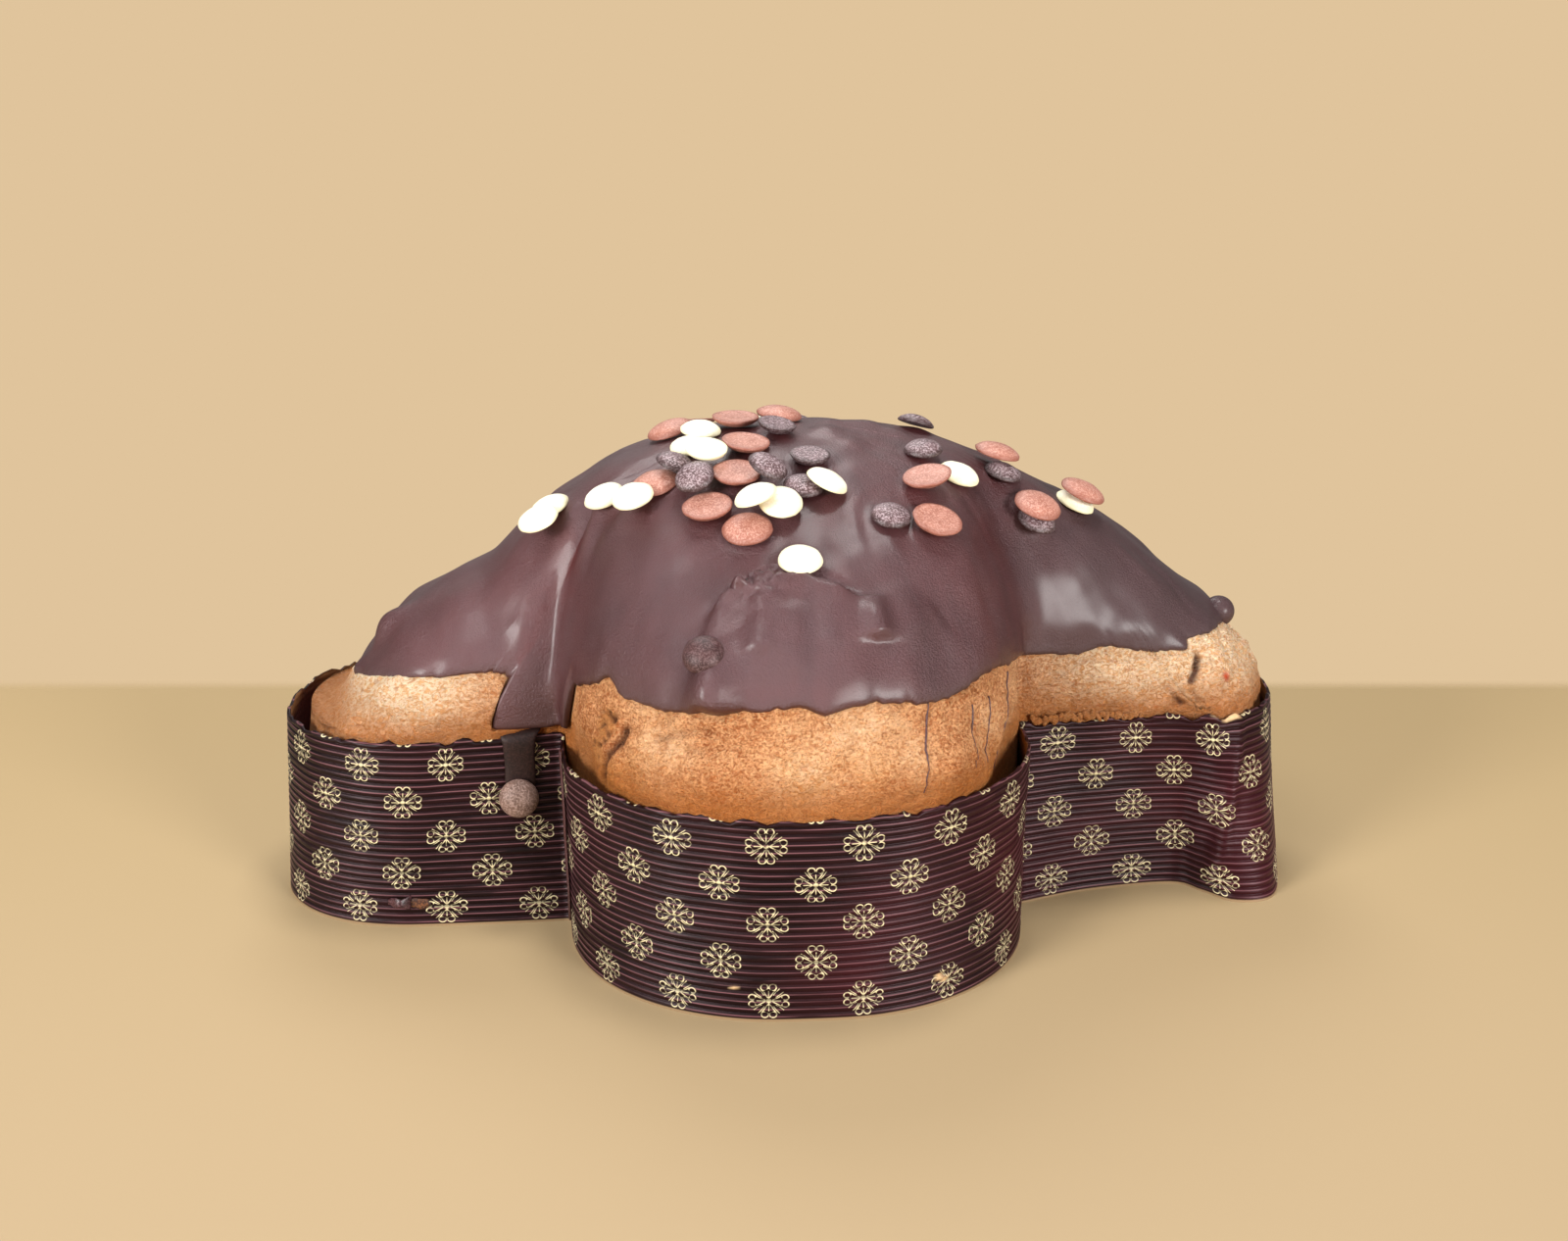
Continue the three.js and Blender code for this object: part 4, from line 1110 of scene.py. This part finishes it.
def glaze_pour():
    """The pour over the dome, with its rounded lower edge and an inner face just under the crust's skin."""
    total = spoke_way[:, -1] - 0.6
    upper = total - edge_way - LIP_STEPS[-1]
    rest = np.linspace(0, 1, GLAZE_ROWS - len(LIP_STEPS) + 1)[1:] ** 1.06
    above = np.concatenate([np.tile(LIP_STEPS, (columns, 1)), LIP_STEPS[-1] + upper[:, None] * rest[None, :]],
                           axis=1)
    skin = on_spokes(edge_way[:, None] + above)
    normal = round_ring(normals_of(skin), BRIDGING)
    normal /= np.linalg.norm(normal, axis=2, keepdims=True)
    hang = np.array([0, 0, -1.0]) * (0.5 * bell(above - 0.9, 1.1))[..., None]
    outer = bridged(skin + normal * sculpted_depth(skin, above)[..., None] + hang, above)
    inner = on_spokes(edge_way[:, None] + (total - edge_way)[:, None] * INNER_SHARES[None, :])
    inner = inner - normals_of(inner[:, ::-1])[:, ::-1] * 0.7
    grid = np.concatenate([inner, outer], axis=1)
    piece = make_mesh("glaze_pour", *capped(grid, inner[:, 0].mean(0), outer[:, -1].mean(0)))

    wet, share = to_line(skin, WET_LINE)
    spots = unevenness(skin, (1, 5, 51))
    wetness = bell(wet, WET_HALF) * np.clip(0.85 + 0.3 * spots, 0, 1) * (1 - smoothstep(share, 0.75, 1.0))
    # edge marks where the painted shade of the pour's lower edge goes.
    for name, values in (("wet", wetness), ("edge", bell(above, 2.2))):
        paint(piece, name, on_rows(values, inner.shape[1], grid.shape[1], 2))
    lane = np.vstack([lanes_of(grid, 9, 0.012).reshape(-1, 3), np.zeros((2, 3))])
    layer = piece.data.attributes.new("lane", "FLOAT_VECTOR", "POINT")
    layer.data.foreach_set("vector", lane.astype(np.float32).ravel())
    return finish_piece(piece, "glaze", GLAZE, "glaze")


def swept(path, sections, sides=28):
    """A closed body along a path. A section is two directions and the half width along each."""
    angle = 2 * math.pi * np.arange(sides) / sides
    c, s = np.cos(angle)[:, None], np.sin(angle)[:, None]
    rings = [np.array(place, float) + c * np.array(across) * wide + s * np.array(out) * thick
             for place, (across, out, wide, thick) in zip(path, sections)]
    return capped(np.stack(rings, axis=1), path[0], path[-1])


def paper_face(x, z):
    """Y of the paper's outer face on the near side of the head or of the tail."""
    ring = paper_ring(z)
    near = ring[(ring[:, 1] < 0) & (np.abs(ring[:, 0]) > 62) & (np.abs(ring[:, 0]) < 148)]
    return float(np.interp(x, near[:, 0], near[:, 1]))


DRIP_X = -77
# Down the drip: height, distance out from the paper's face, half width and half thickness.
DRIP_STATIONS = [(59.5, -4.0, 6.0, 0.3), (58.4, -3.0, 6.2, 0.6), (57.4, -2.0, 6.0, 1.0),
                 (56.7, -0.9, 5.5, 1.2), (56, 0, 5.1, 1.25), (55.2, 0.6, 4.8, 1.15), (53.5, 0.8, 4.4, 1.05),
                 (50, 0.7, 4.25, 0.95), (46, 0.75, 4.2, 0.95), (42, 0.9, 4.4, 1.0), (39.5, 0.8, 3.2, 0.7)]


def glaze_drip():
    """The tongue that leaves the flow, steps over the rim and hangs down the paper."""
    path = [(DRIP_X + 0.15 * math.sin(z), paper_face(DRIP_X, min(z, CASE_HEIGHT)) - out, z)
            for z, out, _, _ in DRIP_STATIONS]
    sections = [((1, 0.02, 0), (0, -1, 0), half, thick) for _, _, half, thick in DRIP_STATIONS]
    piece = make_mesh("glaze_drip", *swept(path, sections))
    refine(piece, 2)
    return finish_piece(piece, "glaze", DRIP)


def refine(piece, levels):
    """Subdivides a piece smoothly and keeps the result as its mesh."""
    modifier = piece.modifiers.new("smooth", "SUBSURF")
    modifier.levels = modifier.render_levels = levels
    graph = bpy.context.evaluated_depsgraph_get()
    mesh = bpy.data.meshes.new_from_object(piece.evaluated_get(graph))
    piece.modifiers.clear()
    old = piece.data
    piece.data = mesh
    bpy.data.meshes.remove(old)
    shade_smooth(mesh)


def ball(name, centre, axis, profile, sides=40):
    """A body of revolution round an axis through centre; profile is (radius, height) pairs."""
    turn = Vector((0, 0, 1)).rotation_difference(Vector(axis)).to_matrix()
    angle = 2 * math.pi * np.arange(sides) / sides
    radius, height = np.array(profile, float).T
    grid = np.dstack([np.outer(np.cos(angle), radius[1:-1]), np.outer(np.sin(angle), radius[1:-1]),
                      np.tile(height[1:-1], (sides, 1))])
    points, faces = capped(grid, (0, 0, height[0]), (0, 0, height[-1]))
    return make_mesh(name, points @ np.array(turn).T + np.array(centre), faces)


def glazed(piece, wet=0.0, edge=0.0):
    """Finishes a small body of glaze that has one look all over."""
    # edge sets how much of the pour's painted edge shade the body takes.
    count = len(piece.data.vertices)
    paint(piece, "wet", np.full(count, wet))
    paint(piece, "edge", np.full(count, edge))
    return finish_piece(piece, "glaze", GLAZE)


TAIL_DROP_AT = (127.4, -6, 78.8)
TAIL_DROP_RADIUS = 4.6


def tail_drop():
    arc = np.radians(np.arange(-80, 81, 10))
    profile = TAIL_DROP_RADIUS * np.array([(0, -1), *zip(np.cos(arc), np.sin(arc)), (0, 1)])
    return glazed(ball("glaze_tail_drop", TAIL_DROP_AT, (0.5, -0.3, 1), profile))


def on_surface(tree, points, lift):
    """Points moved onto a surface and lifted off it, in mm."""
    out = []
    for p in points:
        place, normal, _, _ = tree.find_nearest(Vector(p) * MM)
        out.append(np.array(place) / MM + np.array(normal) * lift)
    return np.array(out)


THREADS = [
    ([(29.9, -81, 80.5), (29.2, -85, 75), (28.7, -87, 71), (28.2, -89, 65), (27.8, -90, 60.5)], 0.24),
    ([(42.7, -74, 77), (42.2, -76, 72), (41.3, -79, 67), (41, -80.5, 63)], 0.2),
    ([(47.9, -68, 77), (47.5, -70.5, 72), (46.6, -73, 67), (46.2, -75.2, 61.5)], 0.22),
    ([(55, -54, 78.5), (54.9, -58, 72), (54.2, -61, 65), (53.6, -64, 58), (53.5, -65, 54.5)], 0.18),
]


def crust_threads(cake):
    """Thin threads of glaze that ran down the wing's crust."""
    vertices = [v.co.copy() for v in cake.data.vertices]
    tree = BVHTree.FromPolygons(vertices, [tuple(p.vertices) for p in cake.data.polygons])
    bodies = []
    for number, (line, half) in enumerate(THREADS):
        run = smooth_run(line, 9)
        run[:, 0] += 0.12 * waves(run, 9, 60 + number)
        run = on_surface(tree, run, 0.1)
        taper = np.linspace(1.25, 0.5, len(run)) * (1 + 0.25 * waves(run, 5, 70 + number))
        sections = [((1, 0.2, 0), (0.3, -1, 0.2), half * t, half * t) for t in taper]
        bodies.append(swept(run, sections, sides=8))
    # The threads take the pour's painted edge shade in full.
    return glazed(make_mesh("crust_threads", *joined(bodies)), wet=0.5, edge=1.0)


# ---------------------------------------------------------------- discs
EDGE_SHARE = 0.2                # of a disc's thickness, from its flat face to its widest line


def poured_disc_tree():
    """Geometry nodes: a ball pressed to a button with one flat face, a thin rim and a dome."""
    tree = bpy.data.node_groups.new("poured_disc", "GeometryNodeTree")
    sizes = {"Radius": 6.0, "Thickness": 3.2, "Wobble": 0.2, "Seed": 0.0, "Dimple": 0.2}
    for name, value in sizes.items():
        socket = tree.interface.new_socket(name, in_out="INPUT", socket_type="NodeSocketFloat")
        socket.default_value = value
    tree.interface.new_socket("Material", in_out="INPUT", socket_type="NodeSocketMaterial")
    tree.interface.new_socket("Geometry", in_out="OUTPUT", socket_type="NodeSocketGeometry")
    entry = tree.nodes.new("NodeGroupInput")
    given = {s.name: Wire(tree, entry.outputs[s.name])
             for s in tree.interface.items_tree if s.in_out == "INPUT"}
    root = given["Radius"]
    sphere = root.node("GeometryNodeMeshUVSphere", {"Segments": 44, "Rings": 22, "Radius": 1.0})
    place = root.node("GeometryNodeInputPosition", {})
    x, y, z = (place.axis(k) for k in range(3))
    reach = x.maths("SQRT", x * x + y * y) + 0.0001
    upper = z > 0.0
    spread = reach.maths("POWER", reach, upper * 0.5 + 0.45)
    high = abs(z)
    dome = high.maths("POWER", high, 1.35) * (1 - EDGE_SHARE)
    flat = high.maths("POWER", high, 0.4) * -EDGE_SHARE
    rise = upper * dome + (1 - upper) * flat + EDGE_SHARE - 0.5
    noise_place = root.node("ShaderNodeVectorMath", {0: place, 1: root.node(
        "ShaderNodeCombineXYZ", {0: given["Seed"], 1: given["Seed"] * 1.7, 2: 0.0})}, operation="ADD")
    lump = root.node("ShaderNodeTexNoise", {"Vector": noise_place, "Scale": 1.3, "Detail": 2.0})
    soft = (lump - 0.5) * given["Wobble"]
    dimple = given["Dimple"] * (1 - upper) * reach.smooth(0.85, 0.3)
    scale = spread / reach * given["Radius"] * (1 + soft)
    up = rise * given["Thickness"] + soft * 1.2 + dimple
    moved = root.node("ShaderNodeCombineXYZ", {0: x * scale, 1: y * scale, 2: up})
    shaped = root.node("GeometryNodeSetPosition", {"Geometry": sphere, "Position": moved})
    smooth = root.node("GeometryNodeSetShadeSmooth", {"Geometry": shaped})
    single = root.node("GeometryNodeRealizeInstances", {"Geometry": smooth})
    coated = root.node("GeometryNodeSetMaterial", {"Geometry": single, "Material": given["Material"]})
    leave = tree.nodes.new("NodeGroupOutput")
    tree.links.new(coated.socket, leave.inputs[0])
    return tree


SINK = 0.35                     # how deep a disc sits in the glaze
DISC_WIDTH = 0.96               # share of the solid's radius and thickness
DISC_HEIGHT = 0.94
DISC_WOBBLE = 0.16
MILK_DIMPLE = 0.3
DISC_DIMPLE = 0.12
SEED_STEP = 3.1
TURN_STEP = 1.7                 # radians from one disc to the next, so that no two look alike


def chocolate_discs():
    tree = poured_disc_tree()
    socket_of = {s.name: s.identifier for s in tree.interface.items_tree if s.in_out == "INPUT"}
    source = link(bpy.data.objects.new("disc_form", bpy.data.meshes.new("disc_form")))
    for number, (name, (centre, axis, radius, thick)) in enumerate(sorted(DISC_FRAMES.items())):
        kind = name.split("_")[1]
        modifier = source.modifiers.new("form", "NODES")
        modifier.node_group = tree
        given = {"Radius": radius * DISC_WIDTH, "Thickness": thick * DISC_HEIGHT, "Wobble": DISC_WOBBLE,
                 "Seed": SEED_STEP * number, "Dimple": MILK_DIMPLE if kind == "milk" else DISC_DIMPLE}
        for label, value in given.items():
            modifier[socket_of[label]] = float(value)
        modifier[socket_of["Material"]] = CHOCOLATES[kind]
        graph = bpy.context.evaluated_depsgraph_get()
        mesh = bpy.data.meshes.new_from_object(source.evaluated_get(graph))
        source.modifiers.clear()
        points = np.empty(len(mesh.vertices) * 3, np.float32)
        mesh.vertices.foreach_get("co", points)
        points = points.reshape(-1, 3).astype(float)
        tilt = Vector((0, 0, 1)).rotation_difference(Vector(axis)).to_matrix()
        turn = np.array(tilt @ Matrix.Rotation(TURN_STEP * number, 3, "Z"))
        placed = (points @ turn.T + centre - (0, 0, SINK)) * MM
        mesh.vertices.foreach_set("co", placed.astype(np.float32).ravel())
        piece = link(bpy.data.objects.new("chocolate_" + name, mesh))
        # The rim mask: where the disc's painted side shade goes.
        paint(piece, "rim", smoothstep(np.hypot(points[:, 0], points[:, 1]) / radius, 0.72, 0.98))
        shade_smooth(mesh)
        mesh.update()
        finish_piece(piece, f"{kind}_chocolate", CHOCOLATES[kind], name)
    bpy.data.objects.remove(source)


DROP_RADIUS = 5.5
BELLY = 0.34                    # height of a drop's widest line, as a share of its own


def drop_profile(height, below):
    """From a foot sunk by a share of the height up to the top."""
    arc = np.radians(np.arange(-70, 81, 10))
    rise = np.where(arc < 0, BELLY, 1 - BELLY) * np.sin(arc) + BELLY
    return [(0, -below * height), *zip(DROP_RADIUS * np.cos(arc), height * rise), (0, height)]


def node_box(name):
    """Lowest and highest corner of a node of the solids, in mm."""
    points = np.array([v.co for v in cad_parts[name].data.vertices]) / MM
    return points.min(0), points.max(0)


def chocolate_drops():
    """The ball on the wing and the one that the drip has caught."""
    low, high = node_box("drop_wing")
    axis = Vector((-0.12, -0.55, 0.83)).normalized()
    centre = (low + high) / 2 + (1.9, 0, 0.6) - np.array(axis) * 2.9
    on_wing = ball("chocolate_drop_wing", centre, axis, drop_profile(6.2, 0.1), 48)
    low, high = node_box("drop_drip_end")
    middle = (low + high) / 2
    on_drip = ball("chocolate_drop_drip", (middle[0], high[1] + 0.2, middle[2]), (0.05, -1, 0.12),
                   drop_profile(6.0, 0.0), 48)
    for piece, slot, kind, node in ((on_wing, "dark_chocolate", "drop", "drop_wing"),
                                    (on_drip, "speckled_chocolate", "speckled", "drop_drip_end")):
        paint(piece, "rim", np.zeros(len(piece.data.vertices)))
        finish_piece(piece, slot, CHOCOLATES[kind], node)


# ---------------------------------------------------------------- the run on the paper
RUN_AT = (-64.6, -49.5)
RUN_HEIGHTS = [56.5, 55, 50, 44, 38, 32, 26, 20, 14, 9, 6]
RUN_HALF = 1.45
RUN_THICK = 0.42


def paper_run():
    """A thin set run of glaze down the wing's paper, beside the neck."""
    path, sections = [], []
    for z in RUN_HEIGHTS:
        ring = paper_ring(z)
        i = int(np.argmin(np.hypot(*(ring - RUN_AT).T)))
        out = outward(ring)[i]
        path.append((*(ring[i] + out * 0.3), z))
        half = RUN_HALF if z > 12 else 0.6 + 0.07 * z
        sections.append(((-out[1], out[0], 0), (*out, 0), half, RUN_THICK))
    return glazed(make_mesh("glaze_run", *swept(path, sections, sides=12)))


# ---------------------------------------------------------------- small damage
TEAR = (-107, 7.2)              # x and z of the hole in the head's paper
TEAR_REACH = (3.5, 1.7)


def paper_tear():
    """The hole's ragged floor: what shows of the bare sheet behind the print, darkened by painted shade."""
    sides = 26
    angle = 2 * math.pi * np.arange(sides) / sides
    ragged = 1 + 0.16 * waves(np.column_stack([np.cos(angle), np.sin(angle)]), 1.2, 81)
    rings = []
    for share, out in ((1.0, -0.35), (0.96, 0.12), (0.6, 0.16), (0.15, 0.16)):
        x = TEAR[0] + TEAR_REACH[0] * share * ragged * np.cos(angle)
        z = TEAR[1] + TEAR_REACH[1] * share * ragged * np.sin(angle)
        rings.append(np.column_stack([x, [paper_face(a, b) - out for a, b in zip(x, z)], z]))
    body = capped(np.stack(rings, axis=1), rings[0].mean(0), rings[-1].mean(0))
    return finish_piece(make_mesh("paper_tear", *body), "paper", HOLLOW)


def paper_flap():
    """The peeled scrap of print that curls away on the hole's left."""
    path, sections = [], []
    for share in np.linspace(0, 1, 9):
        x = TEAR[0] - 2.2 - 6.4 * share
        lift = 0.3 + 1.9 * math.sin(math.pi * min(share * 1.1, 1)) ** 1.2
        path.append((x, paper_face(x, TEAR[1]) - lift, TEAR[1] + 0.6 + 0.5 * math.sin(3 * share)))
        half = 2.1 * (1 - 0.5 * share) * (0.85 + 0.15 * math.cos(9 * share))
        sections.append(((0.08, 0.25, 1), (0, -1, 0.2), half, 0.22))
    return finish_piece(make_mesh("paper_flap", *swept(path, sections, sides=14)), "paper", PEELED)


FRINGE = (67.5, 99, 26)         # from x to x along the tail's rim, and how many scraps


def crust_fringe():
    """Ragged scraps of crust that hang over the rim at the start of the tail."""
    rng = np.random.default_rng(91)
    rows, sides = 5, 8
    turn = 2 * math.pi * np.arange(sides) / sides
    tilt = math.pi * (np.arange(rows) + 1) / (rows + 1)
    scraps = []
    for x in np.linspace(*FRINGE):
        size = rng.uniform(0.8, 1.5)
        long = rng.uniform(0.9, 1.8)
        lean = rng.normal(0, 0.35)
        middle = np.array([x + rng.normal(0, 0.4), paper_face(x, 55) + 0.1, 56.5 + rng.normal(0, 0.35)])
        grid = np.empty((sides, rows, 3))
        grid[..., 0] = np.outer(np.cos(turn), np.sin(tilt)) * size - lean * long * np.cos(tilt)
        grid[..., 1] = np.outer(np.sin(turn), np.sin(tilt)) * size * 0.7
        grid[..., 2] = -np.cos(tilt) * long
        points, faces = capped(grid, (lean * long, 0, -long), (-lean * long, 0, long))
        scraps.append((points + middle, faces))
    return finish_piece(make_mesh("crust_fringe", *joined(scraps)), "crust", CRUST)


# ---------------------------------------------------------------- camera, floor and light
CAMERA_AT = (-30.44, -477.26, 231.76)
CAMERA_PITCH = 18
CAMERA_YAW = 3.5
LENS = 39.02


def camera():
    data = bpy.data.cameras.new("camera")
    data.lens = LENS
    data.sensor_width = 36
    data.clip_start = 0.01
    eye = link(bpy.data.objects.new("camera", data))
    eye.location = Vector(CAMERA_AT) * MM
    eye.rotation_euler = (math.radians(90 - CAMERA_PITCH), 0, math.radians(-CAMERA_YAW))
    bpy.context.scene.camera = eye


FLOOR_END = 0.637               # from below the camera to the floor's far edge, in metres
FLOOR_SIZE = 3.0
FLOOR_FADE = 0.012              # the width of that edge's soft end


def floor():
    """A pale sheet that ends square to the camera; the backdrop shows behind it."""
    heading = Vector((math.sin(math.radians(CAMERA_YAW)), math.cos(math.radians(CAMERA_YAW)), 0))
    across = Vector((heading.y, -heading.x, 0)) * FLOOR_SIZE
    middle = Vector((CAMERA_AT[0] * MM, CAMERA_AT[1] * MM, 0)) + heading * FLOOR_END
    near = middle - heading * FLOOR_SIZE
    mesh = bpy.data.meshes.new("floor")
    mesh.from_pydata([near - across, near + across, middle + across, middle - across], [], [(0, 1, 2, 3)])
    sheet = link(bpy.data.objects.new("floor", mesh))
    material, shader, place = start_material("pale_floor")
    away = place.node("ShaderNodeVectorMath", {0: place, 1: heading}, output=1, operation="DOT_PRODUCT")
    away = away - heading.dot(Vector(CAMERA_AT)) * MM
    far = away.smooth(FLOOR_END - 0.4, FLOOR_END)
    feed(shader, far.mix(colour("b49c79"), colour("af966c")), "Base Color")
    feed(shader, away.smooth(FLOOR_END, FLOOR_END - FLOOR_FADE), "Alpha")
    shader.inputs["Roughness"].default_value = 0.8
    sheet.data.materials.append(material)


LIT_POINT = (0, 0, 0.06)
WARM = (1, 0.99, 0.97)
# Each disc-shaped light: name, place and diameter in metres, power in watts.
STUDIO = [("key", (-0.45, -0.5, 1.1), 0.45, 3.4), ("top_back", (-0.15, 0.75, 1.0), 0.6, 5.5),
          ("overhead", (0.12, 0.06, 1.15), 0.3, 4.4), ("left", (-1.75, -1.45, 0.75), 0.9, 62),
          ("right", (1.4, -1.85, 0.6), 0.9, 58)]
AMBIENT = (0.27, 0.262, 0.254, 1)


def lights():
    for name, place, size, power in STUDIO:
        data = bpy.data.lights.new(name, "AREA")
        data.shape = "DISK"
        data.size = size
        data.energy = power
        data.color = WARM
        lamp = link(bpy.data.objects.new(name, data))
        lamp.location = place
        lamp.rotation_euler = (Vector(LIT_POINT) - Vector(place)).to_track_quat("-Z", "Y").to_euler()


def backdrop():
    """Plain soft light all round; the camera sees the pale wall's colour instead."""
    world = bpy.data.worlds.new("studio")
    world.use_nodes = True
    tree = world.node_tree
    background = tree.nodes["Background"]
    seen = Wire(tree, background.outputs[0]).node("ShaderNodeLightPath", {}, output=0)
    tree.links.new(seen.mix(AMBIENT, colour("e0c49c")).socket, background.inputs[0])
    bpy.context.scene.world = world
    bpy.context.scene.view_settings.view_transform = "Standard"


camera()
paper_case()
cake_piece = baked_cake()
glaze_pour()
glaze_drip()
tail_drop()
crust_threads(cake_piece)
paper_run()
paper_tear()
paper_flap()
crust_fringe()
chocolate_discs()
chocolate_drops()
floor()
lights()
backdrop()
